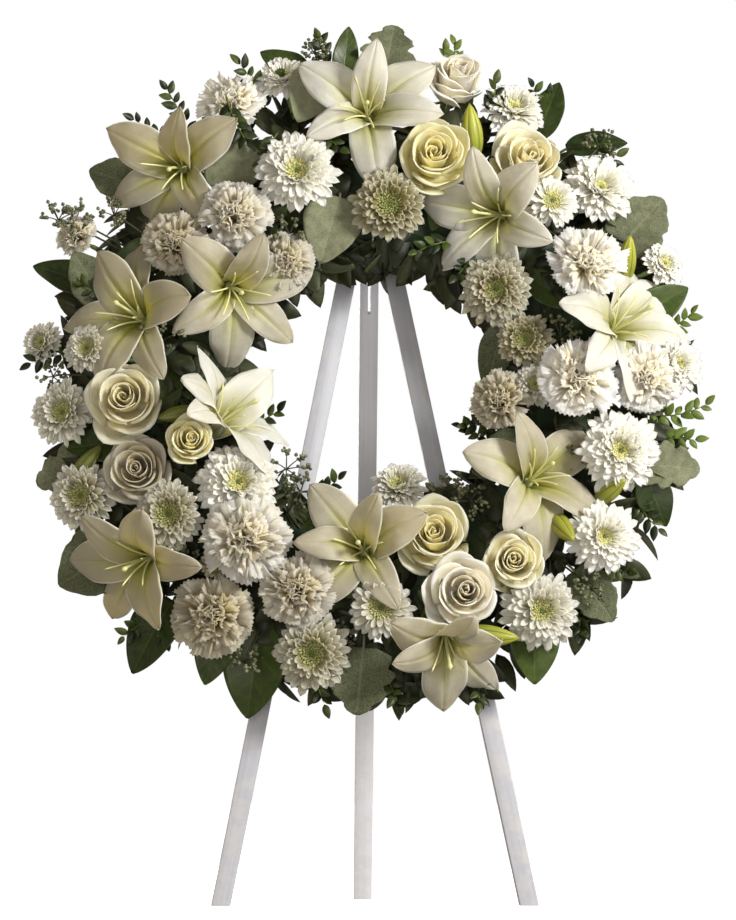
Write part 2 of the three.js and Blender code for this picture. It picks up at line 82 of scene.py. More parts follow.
class Wire:
    """A socket's value in a material, so that sums written on it add Math nodes."""

    def __init__(self, finish, socket):
        self.finish = finish
        self.socket = socket

    def sum(self, operation, *values):
        inputs = dict(enumerate(values))
        return self.finish.add("Math", {"operation": operation}, inputs)

    def __add__(self, other):
        return self.sum("ADD", self, other)

    def __radd__(self, other):
        return self.sum("ADD", other, self)

    def __sub__(self, other):
        return self.sum("SUBTRACT", self, other)

    def __rsub__(self, other):
        return self.sum("SUBTRACT", other, self)

    def __mul__(self, other):
        return self.sum("MULTIPLY", self, other)

    def __rmul__(self, other):
        return self.sum("MULTIPLY", other, self)

    def within(self, low, high):
        """0 below low, 1 above high, and a smooth step between."""
        settings = {"interpolation_type": "SMOOTHSTEP"}
        return self.finish.add(
            "MapRange", settings, {"Value": self, "From Min": low, "From Max": high})


class Finish:
    """A material, and the few ways of adding nodes that its shader is fed from."""

    def __init__(self, name, **constants):
        self.material = bpy.data.materials.new(name)
        self.material.use_nodes = True
        self.tree = self.material.node_tree
        self.shader = self.tree.nodes["Principled BSDF"]
        for socket, value in constants.items():
            self.shader.inputs[socket.replace("_", " ")].default_value = value

    def add(self, kind, settings, inputs, output=0):
        node = self.tree.nodes.new("ShaderNode" + kind)
        for name, value in settings.items():
            setattr(node, name, value)
        for name, value in inputs.items():
            self.feed(node.inputs[name], value)
        return Wire(self, node.outputs[output])

    def feed(self, socket, value):
        if isinstance(value, Wire):
            self.tree.links.new(value.socket, socket)
        else:
            socket.default_value = value

    def here(self):
        return self.add("TexCoord", {}, {}, "Object")

    def stored(self, name, output="Fac"):
        return self.add("Attribute", {"attribute_name": name}, {}, output)

    def stretch(self, vector, x, y, z):
        return self.add("Mapping", {}, {"Vector": vector, "Scale": (x, y, z)})

    def noise(self, vector, scale, detail=3.0):
        inputs = {"Vector": vector, "Scale": scale, "Detail": detail, "Roughness": 0.55}
        return self.add("TexNoise", {}, inputs)

    def cells(self, vector, scale):
        return self.add("TexVoronoi", {}, {"Vector": vector, "Scale": scale})

    def mix(self, share, first, second):
        return self.add("Mix", {"data_type": "RGBA"}, {0: share, 6: first, 7: second}, 2)

    def petal_map(self):
        """The flat map of a petal or leaf, and its two parts: across it, and along it."""
        flat = self.add("UVMap", {"uv_map": "petal"}, {})
        across, along = (self.add("SeparateXYZ", {}, {"Vector": flat}, part) for part in "XY")
        return flat, across, along

    def off_middle(self, across):
        """How far to either side of a petal's or leaf's middle a place is."""
        return (across - 0.5).sum("ABSOLUTE", across - 0.5)

    def coat(self, colour, roughness, height, strength, distance):
        """Feeds the shader its colour, its roughness and its bumps, and hands over the material."""
        bumps = {"Height": height, "Strength": strength, "Distance": distance}
        fed = {"Base Color": colour, "Roughness": roughness, "Normal": self.add("Bump", {}, bumps)}
        for socket, value in fed.items():
            self.feed(self.shader.inputs[socket], value)
        return self.material


def painted_wood(name, coat, shade):
    finish = Finish(name, Specular_IOR_Level=0.42)
    lath = finish.stored("lath", "Vector")
    grain = finish.noise(finish.stretch(lath, 420, 420, 9), 1.0, 5)
    cloud = finish.noise(lath, 14, 2)
    brush = finish.noise(finish.stretch(lath, 1500, 1500, 30), 1.0, 2)
    worn = finish.add("NewGeometry", {}, {}, "Pointiness").within(0.535, 0.60)
    worn = worn * finish.noise(lath, 90, 3).within(0.42, 0.62) * 0.6
    tone = (grain * 0.55 + cloud * 0.45).within(0.34, 0.66)
    colour = finish.mix(worn, finish.mix(tone, shade, coat), BARE_ARRIS)
    return finish.coat(colour, 0.36 + 0.16 * cloud, grain * 0.7 + brush * 0.3, 0.16, 0.0006)


def dressed(node, name, arris):
    """A copy of a CAD piece with its faces joined up and its edges eased, standing in its place."""
    bpy.ops.object.select_all(action="DESELECT")
    piece = bpy.data.objects.new(name, frame["nodes"][node].data.copy())
    bpy.context.scene.collection.objects.link(piece)
    bpy.context.view_layer.objects.active = piece
    piece.select_set(True)
    bpy.ops.object.mode_set(mode="EDIT")
    bpy.ops.mesh.select_all(action="SELECT")
    bpy.ops.mesh.remove_doubles(threshold=WELD_GAP)
    bpy.ops.mesh.dissolve_limited(angle_limit=FLAT_ANGLE)
    bpy.ops.object.mode_set(mode="OBJECT")
    eased = piece.modifiers.new("arris", "BEVEL")
    eased.width = arris
    eased.segments = 2
    eased.limit_method = "ANGLE"
    eased.angle_limit = EASED_ANGLE
    bpy.ops.object.modifier_apply(modifier="arris")
    bpy.ops.object.shade_smooth_by_angle(angle=SMOOTH_ANGLE)
    return piece


def places_of(mesh):
    places = np.empty(len(mesh.vertices) * 3, np.float32)
    mesh.vertices.foreach_get("co", places)
    return places.reshape(-1, 3)


def mark_lath(piece):
    """Stores each point's place along and across the lath, so that the grain runs the way it does."""
    places = places_of(piece.data)
    middle = places.mean(0)
    _, _, axes = np.linalg.svd(places - middle, full_matrices=False)
    own = (places - middle) @ axes[::-1].T
    stored = piece.data.attributes.new("lath", "FLOAT_VECTOR", "POINT")
    stored.data.foreach_set("vector", own.astype(np.float32).ravel())


def settle(piece, material, replaced=(), body="front_frame"):
    piece.data.materials.clear()
    piece.data.materials.append(material)
    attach(piece, body)
    if replaced:
        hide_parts(*replaced)
    return piece


def wooden(node, name, arris, material, body="front_frame"):
    part = dressed(node, name, arris)
    mark_lath(part)
    settle(part, material, [node], body)


wood = painted_wood("white_painted_wood", PAINT, PAINT_SHADE)
for node in ("front_leg_left", "front_leg_right"):
    wooden(node, f"{node}_lath", LATH_ARRIS, wood)
wooden("head_gusset", "head_gusset_plate", GUSSET_ARRIS, wood)
# The rear leg's lighter coat is painted light, lifting it out of the wreath's shade.
rear_wood = painted_wood("rear_paint_lit_up_for_shade", REAR_PAINT_LIT_UP_FOR_SHADE, REAR_GRAIN_LIT_UP_FOR_SHADE)
wooden("rear_leg", "rear_leg_lath", LATH_ARRIS, rear_wood, "rear_leg")

# ---------------------------------------------------------------- steel fittings
# Hinge bracket, its two screws and the pin, the screw in the head and the wire that the ring hangs
# by. They are mild steel, stamped, turned or bent, and zinc plated to a dull blue-grey.

ZINC = (0.60, 0.61, 0.63, 1)
ZINC_DULL = (0.42, 0.43, 0.44, 1)
STEEL_ARRIS = {
    "hinge_bracket": 0.0003, "bracket_screw_left": 0.0007, "bracket_screw_right": 0.0007,
    "hinge_pin": 0.0003, "hanger_screw": 0.0006, "hanger_wire": 0.0001,
}


def zinc_plate():
    finish = Finish("zinc_plated_steel", Metallic=1.0)
    spangle = finish.cells(finish.here(), 900)
    smear = finish.noise(finish.here(), 160, 4)
    colour = finish.mix(smear.within(0.35, 0.7), ZINC, ZINC_DULL)
    return finish.coat(colour, 0.3 + 0.2 * spangle + 0.12 * smear, smear, 0.12, 0.0002)


zinc = zinc_plate()
for node, arris in STEEL_ARRIS.items():
    fitting = dressed(node, f"{node}_plated", arris)
    settle(fitting, zinc, [node])

# ---------------------------------------------------------------- foam ring in its tray
# A ring of green floral foam, soaked and pressed into a moulded tray that covers its back and the
# lower part of its sides. The tray is polypropylene with a faint sand-blasted skin.

TRAY_GREEN = (0.018, 0.055, 0.028, 1)
TRAY_SCUFF = (0.05, 0.10, 0.06, 1)
FOAM_GREEN = (0.022, 0.042, 0.018, 1)
FOAM_WET = (0.010, 0.022, 0.009, 1)


def moulded_tray():
    finish = Finish("green_tray_plastic", Specular_IOR_Level=0.45)
    skin = finish.noise(finish.here(), 2600, 2)
    scuff = finish.noise(finish.here(), 60, 5)
    colour = finish.mix(scuff.within(0.5, 0.75), TRAY_GREEN, TRAY_SCUFF)
    return finish.coat(colour, 0.38 + 0.22 * scuff, skin * 0.5 + scuff * 0.5, 0.15, 0.0003)


def wet_foam():
    finish = Finish("wet_floral_foam", Specular_IOR_Level=0.3)
    crumbs = finish.cells(finish.here(), 1500)
    damp = finish.noise(finish.here(), 40, 4)
    colour = finish.mix(damp.within(0.35, 0.65), FOAM_WET, FOAM_GREEN)
    return finish.coat(colour, 0.95 - 0.4 * damp, crumbs * 0.7 + damp * 0.3, 0.6, 0.0008)


tray = dressed("ring_tray", "ring_tray_moulding", 0.0006)
settle(tray, moulded_tray(), ["ring_tray"])
foam_node = frame["nodes"]["foam_ring"]
foam_node.data.materials.clear()
foam_node.data.materials.append(wet_foam())

# ---------------------------------------------------------------- filler foliage
# Short pieces of dark green leaf, pushed in all over the foam before the flowers, so that none of it
# shows between them. They lean outwards round the rims and hang a little past the tray.

WREATH_LEAN = math.radians(11.5)
ACROSS = np.array([1.0, 0.0, 0.0])
UP = np.array([0.0, math.sin(WREATH_LEAN), math.cos(WREATH_LEAN)])
OUT = np.array([0.0, -math.cos(WREATH_LEAN), math.sin(WREATH_LEAN)])
RING_AXES = np.array([ACROSS, UP, OUT])
TRAY_HALF_DEPTH = 11
MIDDLE_RADIUS = 190
FOAM_TOP = 62
MM = 0.001
tray_low, tray_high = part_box("ring_tray")
RING_MIDDLE = np.array((tray_low + tray_high) / 2) - OUT * TRAY_HALF_DEPTH * MM

FILLER_LEAVES = 370
FILLER_SEED = 40
FILLER_REACHES = (132, 302)
# The filler leaves' near-black green is partly their own dark colour and partly painted shade, standing
# for the shade deep in the gaps between the flowers.
DARK_LEAF = (0.010, 0.014, 0.006, 1)
DARK_LEAF_LIGHT = (0.045, 0.052, 0.020, 1)


def clock_point(clock, reach, height):
    """A place in the ring's own axes, in millimetres. The clock runs as seen from the front."""
    turn = math.radians(clock)
    return np.array([reach * math.sin(turn), reach * math.cos(turn), height])


def in_frame(points):
    """Points in the ring's own axes, in millimetres, moved to where they are in the frame."""
    return RING_MIDDLE + (points @ RING_AXES) * MM


def unit(vector):
    return vector / np.linalg.norm(vector)


def standing(face):
    """Right, up and forward axes of something that faces a way."""
    right = unit(np.cross([0.0, 1.0, 0.0], face))
    return np.array([right, np.cross(face, right), face])


def pointing(way, face):
    """Across, along and forward axes of a leaf that points one way and shows its face another."""
    along = unit(way)
    across = unit(np.cross(along, face))
    return np.array([across, along, np.cross(across, along)])


def grid_pattern(columns, rows):
    """A flat sheet to shape petals and leaves from: its points as u, from -1 to 1, and v, 0 to 1."""
    bpy.ops.object.select_all(action="DESELECT")
    bpy.ops.mesh.primitive_grid_add(x_subdivisions=columns, y_subdivisions=rows, size=2)
    mesh = bpy.context.object.data
    x, y, _ = places_of(mesh).astype(float).T
    return mesh, x, (y + 1) / 2


def ball_pattern(segments, rings):
    """A closed ball to shape small solid leaves from: its points as a turn round, and v, 0 to 1."""
    bpy.ops.object.select_all(action="DESELECT")
    bpy.ops.mesh.primitive_uv_sphere_add(segments=segments, ring_count=rings, radius=1)
    mesh = bpy.context.object.data
    x, y, z = places_of(mesh).astype(float).T
    return mesh, np.arctan2(y, x), np.arccos(np.clip(-z, -1, 1)) / math.pi


def drop_patterns():
    """Removes the patterns' own objects once everything has been cut from them."""
    for thing in list(bpy.data.objects):
        if thing.type == "MESH" and thing.name.startswith(("Grid", "Sphere")):
            bpy.data.objects.remove(thing)


def sewn(name, pattern, shapes, **shades):
    """One piece that holds a copy of the pattern for each shape, an array of where its points go.
    Each shade is one number for them all, or a list with one number, or one for each point, for
    each copy."""
    count = len(shapes)
    size = len(pattern.vertices)
    corners = np.empty(len(pattern.loops), np.int32)
    pattern.loops.foreach_get("vertex_index", corners)
    starts = np.empty(len(pattern.polygons), np.int32)
    pattern.polygons.foreach_get("loop_start", starts)
    flat = np.empty(len(corners) * 2, np.float32)
    pattern.uv_layers[0].uv.foreach_get("vector", flat)
    copies = np.arange(count)[:, None]
    mesh = bpy.data.meshes.new(name)
    mesh.vertices.add(count * size)
    mesh.vertices.foreach_set("co", np.concatenate(shapes).astype(np.float32).ravel())
    mesh.loops.add(count * len(corners))
    mesh.loops.foreach_set("vertex_index", (corners + copies * size).astype(np.int32).ravel())
    mesh.polygons.add(count * len(starts))
    mesh.polygons.foreach_set("loop_start", (starts + copies * len(corners)).astype(np.int32).ravel())
    mesh.uv_layers.new(name="petal")
    mesh.uv_layers["petal"].uv.foreach_set("vector", np.tile(flat, count))
    for shade, values in shades.items():
        stored = mesh.attributes.new(shade, "FLOAT", "POINT")
        each = values if isinstance(values, list) else [values] * count
        spread = np.concatenate([np.broadcast_to(value, size) for value in each])
        stored.data.foreach_set("value", spread.astype(np.float32))
    mesh.update(calc_edges=True)
    mesh.validate()
    piece = bpy.data.objects.new(name, mesh)
    bpy.context.scene.collection.objects.link(piece)
    mesh.shade_smooth()
    return piece


def thicken(piece, thickness):
    """Gives sheets their thickness, half to each side."""
    bpy.context.view_layer.objects.active = piece
    wall = piece.modifiers.new("thickness", "SOLIDIFY")
    wall.thickness = thickness
    wall.offset = 0
    bpy.ops.object.modifier_apply(modifier="thickness")
    piece.data.shade_smooth()
    return piece


def joined(name, parts):
    """Several parts of one piece as one mesh."""
    bpy.ops.object.select_all(action="DESELECT")
    for part in parts:
        part.select_set(True)
    bpy.context.view_layer.objects.active = parts[0]
    bpy.ops.object.join()
    parts[0].name = name
    return parts[0]


def bezier(t, points):
    """A curve through control points, and its direction, at each t."""
    t = np.asarray(t, float)[:, None]
    points = [np.asarray(point, float) for point in points]
    steps = [b - a for a, b in zip(points, points[1:])]
    if len(points) == 3:
        place = (1 - t) ** 2 * points[0] + 2 * t * (1 - t) * points[1] + t ** 2 * points[2]
        way = (1 - t) * steps[0] + t * steps[1]
    else:
        place = ((1 - t) ** 3 * points[0] + 3 * t * (1 - t) ** 2 * points[1]
                 + 3 * t ** 2 * (1 - t) * points[2] + t ** 3 * points[3])
        way = (1 - t) ** 2 * steps[0] + 2 * t * (1 - t) * steps[1] + t ** 2 * steps[2]
    return place, way / np.linalg.norm(way, axis=1)[:, None]


SMALL_LEAF, leaf_turn, leaf_v = ball_pattern(6, 7)


def small_leaf(length, width, fold, droop):
    """A solid leaf with a folded midrib, from its foot at the origin, as across, along and face."""
    v = 1 - (1 - leaf_v) ** 1.15
    half = width / 2 * np.sin(math.pi * v ** 0.82) ** 0.8
    x = np.cos(leaf_turn) * half
    z = np.abs(x) * fold + np.sin(leaf_turn) * 0.35 * np.sin(math.pi * leaf_v) - droop * length * v ** 2
    return np.stack([x, v * length, z], 1)


def leaf_green(name, dark, light, gloss, vein=0.4, felt=0.0):
    """Leaf skin: paler along the midrib and ribs, mottled between them, each leaf a little its own."""
    finish = Finish(name, Specular_IOR_Level=0.3, Subsurface_Weight=0.05, Subsurface_Scale=0.002)
    _, across, along = finish.petal_map()
    off_middle = finish.off_middle(across)
    midrib = 1 - off_middle.within(0.0, 0.035)
    slant = (along * 9 - off_middle * 4.4) * 4.83
    ribs = slant.sum("SINE", slant).within(0.82, 1.0)
    mottle = finish.noise(finish.here(), 130, 4)
    own = finish.stored("own")
    colour = finish.mix((own * 0.55 + mottle * 0.45).within(0.25, 0.85), dark, light)
    pale = tuple(min(1.0, 1.5 * part) for part in light[:3]) + (1,)
    colour = finish.mix(midrib * vein + ribs * vein * 0.3, colour, pale)
    if felt:
        hairs = finish.noise(finish.here(), 900, 3).within(0.3, 0.6)
        colour = finish.mix(hairs * felt, colour, pale)
    bumps = ribs * 0.3 + mottle * 0.5 - midrib * 0.8
    return finish.coat(colour, gloss + 0.2 * mottle, bumps, 0.4, 0.0006)


def filler(name, clocks, seed):
    """Leaves set all over one stretch of the ring, and out past both its rims."""
    draw = np.random.default_rng(seed)
    shapes = []
    owns = []
    for _ in range(FILLER_LEAVES):
        clock = draw.uniform(*clocks)
        reach = draw.uniform(*FILLER_REACHES)
        share = (reach - MIDDLE_RADIUS) / (125 if reach > MIDDLE_RADIUS else 66)
        height = 8 + (FOAM_TOP - 2) * math.sqrt(max(0.0, 1 - share ** 2)) * draw.uniform(0.7, 1.0)
        tilt = math.radians(62) * max(-1.0, min(1.0, share)) + math.radians(draw.uniform(-28, 28))
        face = clock_point(clock + draw.uniform(-25, 25), math.sin(tilt), math.cos(tilt))
        outwards = 1.0 if share > -0.3 else -1.0
        way = clock_point(clock + draw.uniform(-75, 75), outwards, draw.uniform(-0.4, 0.3))
        length = draw.uniform(30, 52)
        shape = small_leaf(length, length * draw.uniform(0.42, 0.62), 0.3, draw.uniform(0.02, 0.16))
        foot = clock_point(clock, reach, height) - unit(way) * length * 0.35
        shapes.append(in_frame(foot + shape @ pointing(way, face)))
        owns.append(draw.uniform())
    return sewn(name, SMALL_LEAF, shapes, own=owns)


dark_leaf = leaf_green("dark_filler_leaf", DARK_LEAF, DARK_LEAF_LIGHT, 0.4)
for index, quarter in enumerate(("top_right", "bottom_right", "bottom_left", "top_left")):
    clocks = (90 * index, 90 * index + 90)
    leaves = filler(f"filler_leaves_{quarter}", clocks, FILLER_SEED + index)
    settle(leaves, dark_leaf)

# ---------------------------------------------------------------- lilies
# Eleven open white lilies with their anthers picked off. Each has three broad inner tepals over
# three narrow outer ones, six filaments and a pistil, on a green stalk pushed into the foam.

LILY_RISE = 62
BLOOM_RISE = 82
TEPAL_LENGTH = 80
TEPAL_HALF_WIDTHS = (22.0, 17.0)
# Each as clock, reach, turn and nod of its face, and each tepal's direction and opening.
LILIES = [
    (359, 273, -5, 5, [(30, 70), (80, 40), (145, 70), (215, 55), (280, 80), (350, 65)]),
    (320, 288, -20, -10, [(30, 70), (70, 35), (145, 65), (205, 75), (240, 85), (305, 60)]),
    (286, 232, -30, 5, [(5, 60), (95, 85), (120, 60), (185, 65), (245, 70), (295, 75)]),
    (305, 168, 15, -20, [(20, 75), (75, 40), (145, 65), (220, 65), (270, 85), (320, 75)]),
    (254, 161, 50, 30, [(40, 30), (110, 55), (165, 60), (195, 65), (275, 65), (340, 65)]),
    (232, 274, -35, -20, [(55, 45), (130, 50), (170, 65), (225, 85), (290, 55), (350, 60)]),
    (184, 165, -10, 0, [(20, 55), (55, 30), (130, 60), (185, 40), (235, 65), (300, 60)]),
    (123, 177, 20, 5, [(40, 80), (125, 40), (170, 70), (235, 65), (275, 85), (325, 65)]),
    (36, 209, -25, -15, [(35, 55), (90, 50), (160, 70), (215, 70), (265, 90), (330, 60)]),
    (77, 237, 35, 15, [(40, 75), (70, 80), (175, 70), (225, 75), (275, 80), (350, 65)]),
    (165, 253, 5, -45, [(30, 40), (75, 40), (150, 50), (180, 35), (270, 70), (315, 75)]),
]
LILY_SEED = 100
INNER_STEP = 1.6
TEPAL_WALL = 0.0006
FILAMENTS = 6
FULL_TURN = 6.28
STEM_RADIUS = 2.5
STEM_ROOT = 36
STEM_STOP = 12
# How far each lily is darkened towards beige: partly the bloom's own cream, partly painted shade for the
# lilies that face away from the key lamp.
LILY_BEIGE_AND_SHADE = [0.32, 0.9, 1.08, 0.75, 0.2, 1.05, 0.85, 0.78, 0.4, 0.2, 0.75]
LILY_IVORY_AND_SHADE = (0.36, 0.315, 0.225, 1)
LILY_WHITE = (0.79, 0.76, 0.65, 1)
LILY_RIM = (0.88, 0.855, 0.75, 1)
LILY_THROAT = (0.40, 0.385, 0.05, 1)
LILY_THROAT_DEPTH_SHADE = (0.17, 0.19, 0.02, 1)
LILY_GROOVE = (0.28, 0.28, 0.05, 1)
FILAMENT = (0.80, 0.78, 0.38, 1)
STALK_GREEN = (0.10, 0.17, 0.05, 1)
STALK_LIGHT = (0.16, 0.25, 0.08, 1)


def dome_at(reach, rise):
    """Height and outward lean of the dome of flowers at a distance from the ring's centre."""
    span = 135 if reach > MIDDLE_RADIUS else 100
    share = max(-0.97, min(0.97, (reach - MIDDLE_RADIUS) / span))
    return 20 + rise * math.sqrt(1 - share * share), 0.45 * math.asin(share)


def petal_finish(name, weight, scale, shine, radius=(1.0, 0.85, 0.5)):
    return Finish(name, Subsurface_Weight=weight, Subsurface_Scale=scale,
                  Subsurface_Radius=radius, Specular_IOR_Level=shine)


def lily_skin():
    finish = petal_finish("lily_tepals", 0.5, 0.006, 0.35)
    flat, across, along = finish.petal_map()
    off_middle = finish.off_middle(across)
    beige = finish.stored("beige")
    veins = finish.noise(finish.stretch(flat, 46, 2.2, 1), 1.0, 3)
    cloud = finish.noise(finish.here(), 60, 3)
    # Painted shade and ivory: tepals darkened towards a deep ivory by their stored beige and shade, with
    # a cloud of real tone.
    colour = finish.mix((beige * 0.8 + cloud * 0.5 - 0.12).within(0.0, 1.0), LILY_WHITE, LILY_IVORY_AND_SHADE)
    throat = 1 - (along + off_middle * 0.6 + veins * 0.25 - 0.12).within(0.18, 0.92)
    colour = finish.mix(throat * (0.82 + beige * 0.14), colour, LILY_THROAT)
    # Painted shade: the feet of the tepals, deep in the throat, are darkened to olive over the throat's
    # own green.
    colour = finish.mix((1 - (along + off_middle * 0.3).within(0.12, 0.48)) * 0.8, colour, LILY_THROAT_DEPTH_SHADE)
    groove = (1 - off_middle.within(0.0, 0.04)) * (1 - along.within(0.5, 1.0)) * 0.8
    colour = finish.mix(groove, colour, LILY_GROOVE)
    colour = finish.mix(veins.within(0.48, 0.72) * (0.14 + throat * 0.5), colour, LILY_GROOVE)
    colour = finish.mix(off_middle.within(0.462, 0.498) * 0.6, colour, LILY_RIM)
    return finish.coat(colour, 0.42 + 0.2 * veins, veins * 0.8 + cloud * 0.2, 0.35, 0.0008)


def stalk_skin():
    """Stalks, calyces and the like: green below, and paler where a piece is marked as tender."""
    finish = Finish("stalk_green", Subsurface_Weight=0.08, Subsurface_Scale=0.002)
    streak = finish.noise(finish.stretch(finish.here(), 900, 900, 90), 1.0, 3)
    green = finish.mix(streak.within(0.3, 0.7), STALK_GREEN, STALK_LIGHT)
    colour = finish.mix(finish.stored("tender"), green, FILAMENT)
    return finish.coat(colour, 0.5, streak, 0.25, 0.0004)


TEPAL, tepal_u, tepal_v = grid_pattern(16, 18)
tepal_u = np.sign(tepal_u) * np.abs(tepal_u) ** 1.35
tepal_v = 1 - (1 - tepal_v) ** 1.2
ROD, rod_turn, rod_v = ball_pattern(6, 10)


def outwards(turn):
    """A direction out from a flower's own axis, at a turn round it."""
    return np.array([math.cos(turn), math.sin(turn), 0])


def sideways(turn, rise=0):
    return np.array([-math.sin(turn), math.cos(turn), rise])


def upwards(height):
    return np.array([0, 0, height])


def tepal(length, half_width, direction, opening, draw):
    """One tepal in its flower's own axes: up out of the throat, out, and back at the tip."""
    turn, open_by = math.radians(direction), math.radians(opening)
    out = outwards(turn)
    side = sideways(turn)
    face = upwards(1.0)
    chord = math.sin(open_by) * out + math.cos(open_by) * face
    lift = math.sin(open_by) * face - math.cos(open_by) * out
    curl = draw.uniform(5, 13)
    sway = draw.uniform(-4, 4)
    path = [out * 3 - face * 13, out * 8 + face * 11,
            chord * 0.58 * length + lift * 0.34 * length, chord * length - lift * curl + side * sway]
    u, v = tepal_u, tepal_v
    middle, way = bezier(v, path)
    normal = np.cross(way, side)
    half = half_width * (v + 0.06) ** 0.7 * (1 - v ** 3) ** 0.72 / 0.62 + 0.3
    twist = math.radians(draw.uniform(-14, 14)) * v ** 1.5
    trough = 0.66 * np.clip(1 - v * 1.2, 0, 1) ** 1.2
    roll = -0.36 * np.clip((v - 0.35) / 0.65, 0, 1) ** 1.2 * draw.uniform(0.3, 1.3)
    section = half * (trough + roll) * u ** 2
    fade = np.clip(1 - v / 0.85, 0, 1)
    section -= 2.2 * np.exp(-(u / 0.085) ** 2) * np.clip(fade + 0.25, 0, 1)
    section += 1.5 * np.exp(-((np.abs(u) - 0.22) / 0.09) ** 2) * np.clip(fade + 0.15, 0, 1)
    section -= 0.8 * np.exp(-((np.abs(u) - 0.42) / 0.09) ** 2) * fade
    phase = draw.uniform(0, FULL_TURN)
    ruffle = np.sin(v * 12 + phase + u) + 0.55 * np.sin(v * 27 + 2 * phase - 2 * u)
    wave = draw.uniform(1.1, 2.6) * ruffle * np.abs(u) ** 2.5 * v ** 0.8
    wide = (u * half)[:, None]
    rise = (section + wave)[:, None]
    across = side * np.cos(twist)[:, None] + normal * np.sin(twist)[:, None]
    lifted = normal * np.cos(twist)[:, None] - side * np.sin(twist)[:, None]
    return middle + across * wide + lifted * rise


def around(middle, aside, other, turn, thick):
    """Points round a curve or an axis, each at its own turn and distance from it."""
    ring = aside * np.cos(turn)[:, None] + other * np.sin(turn)[:, None]
    return middle + ring * thick[:, None]


def rod(points, radius, tip=1.0, swell=0.0):
    """A thin round rod along a curve, from one end's radius to tip times it, closed at both ends."""
    v = np.clip((rod_v - 0.02) / 0.96, 0, 1)
    middle, way = bezier(v, points)
    aside = np.cross(way, [0.31, 0.52, 0.79])
    aside /= np.linalg.norm(aside, axis=1)[:, None]
    other = np.cross(way, aside)
    thick = radius * (1 + (tip - 1) * v) * np.minimum(1, np.sin(math.pi * rod_v) * 6)
    thick = thick * (1 + swell * np.exp(-((v - 0.93) / 0.06) ** 2))
    return around(middle, aside, other, rod_turn, thick)


def stem_points(clock, neck):
    """A stem's two ends and middle, from inside the foam to the neck of its flower."""
    root = clock_point(clock, MIDDLE_RADIUS, STEM_ROOT)
    foot = root + unit(neck - root) * STEM_STOP
    return [foot, (foot + neck) / 2, neck]


def stem(clock, neck, radius=STEM_RADIUS):
    return in_frame(rod(stem_points(clock, neck), radius))


def settle_stalks(name, rods, tender):
    settle(sewn(name, ROD, rods, tender=tender), stalk)


def facing(turn, nod):
    """The way a flower looks that is turned to one side and nods up or down."""
    turned, nodded = math.radians(turn), math.radians(nod)
    level = math.cos(nodded)
    return np.array([math.sin(turned) * level, math.sin(nodded), math.cos(turned) * level])


lily_petal = lily_skin()
stalk = stalk_skin()
stalk_rods = []
stalk_tenders = []
for number, (clock, reach, turn, nod, tepals) in enumerate(LILIES, 1):
    draw = np.random.default_rng(LILY_SEED + number)
    face = facing(turn, nod)
    axes = standing(face)
    place = clock_point(clock, reach, dome_at(reach, LILY_RISE)[0])
    shapes = []
    for index, (direction, opening) in enumerate(tepals):
        half_width = TEPAL_HALF_WIDTHS[index % 2]
        shape = tepal(TEPAL_LENGTH * draw.uniform(0.97, 1.03), half_width, direction, opening, draw)
        shape[:, 2] -= INNER_STEP * (index % 2)
        shapes.append(in_frame(place + shape @ axes))
    beiges = [LILY_BEIGE_AND_SHADE[number - 1] + 0.12 * math.sin(5 * index + number) for index in range(6)]
    flower = thicken(sewn(f"lily_{number:02}_tepals", TEPAL, shapes, beige=beiges), TEPAL_WALL)
    settle(flower, lily_petal, [f"lily_{number:02}"])
    rods = []
    for strand in range(FILAMENTS):
        spread = math.radians(strand * 360 / FILAMENTS + draw.uniform(-14, 14))
        lean = draw.uniform(0.22, 0.5)
        reach_out = np.array([math.cos(spread) * lean, math.sin(spread) * lean, 1.0])
        long = draw.uniform(44, 54)
        bent = unit(reach_out * [1.5, 1.5, 0.85])
        rods.append(rod([[0, 0, -6], unit(reach_out) * long * 0.5, bent * long], 1.05, 0.75))
    lean = draw.uniform(-0.3, 0.3, 2)
    rods.append(rod([[0, 0, -8], [0, 0, 28], [lean[0] * 30, lean[1] * 30, 56]], 1.6, 0.95, 0.9))
    rods.append(rod([[0, 0, -19], [0, 0, -12], [0, 0, -2]], 4.4, 1.3))
    stalk_rods += [in_frame(place + shape @ axes) for shape in rods]
    stalk_rods.append(stem(clock, place - face * 12))
    stalk_tenders += [1.0] * FILAMENTS + [0.75, 0.3, 0.0]
settle_stalks("lily_stalks_and_filaments", stalk_rods, stalk_tenders)

# ---------------------------------------------------------------- roses
# Nine cream roses. Each is a tight spiral of petals that open outwards, with their lips rolled
# back, on a green hip with five sepals and a stem in the foam.

# Each as clock, reach, radius and how far it stands proud of the dome.
ROSES = [
    (14.5, 333, 38, 0), (15, 232, 40, 4), (34, 270, 40, 4), (265, 241, 40, 6), (250, 190, 29, 18),
    (249, 246, 34, 0), (160, 163, 40, 2), (159, 228, 38, 12), (144, 223, 36, 4),
]
ROSE_YELLOW = [0.1, 1.0, 0.6, 0.6, 0.95, 0.15, 0.8, 0.1, 0.65]
ROSE_OPENING = [0.80, 0.95, 0.95, 1.0, 0.85, 1.0, 1.0, 1.0, 0.85]
# How far each rose is darkened towards tan: partly age, partly painted shade for the roses that stand in
# the lamps' shade.
ROSE_AGE_AND_SHADE = [0.0, 0.05, 0.0, 0.15, 0.0, 0.56, 0.1, 0.0, 0.0]
ROSE_SEED = 200
PETAL_WALL = 0.0005
GOLDEN_TURN = 2.39996
BLOOM_TENDER = 0.05
HEART_PETALS = 9
CUP_PETALS = 5
OUTER_PETALS = 7
ROSE_WHITE = (0.97, 0.94, 0.80, 1)
ROSE_CREAM = (0.97, 0.91, 0.52, 1)
ROSE_HEART = (0.94, 0.82, 0.30, 1)
ROSE_BLUSH = (0.95, 0.84, 0.64, 1)
ROSE_TAN = (0.36, 0.275, 0.14, 1)


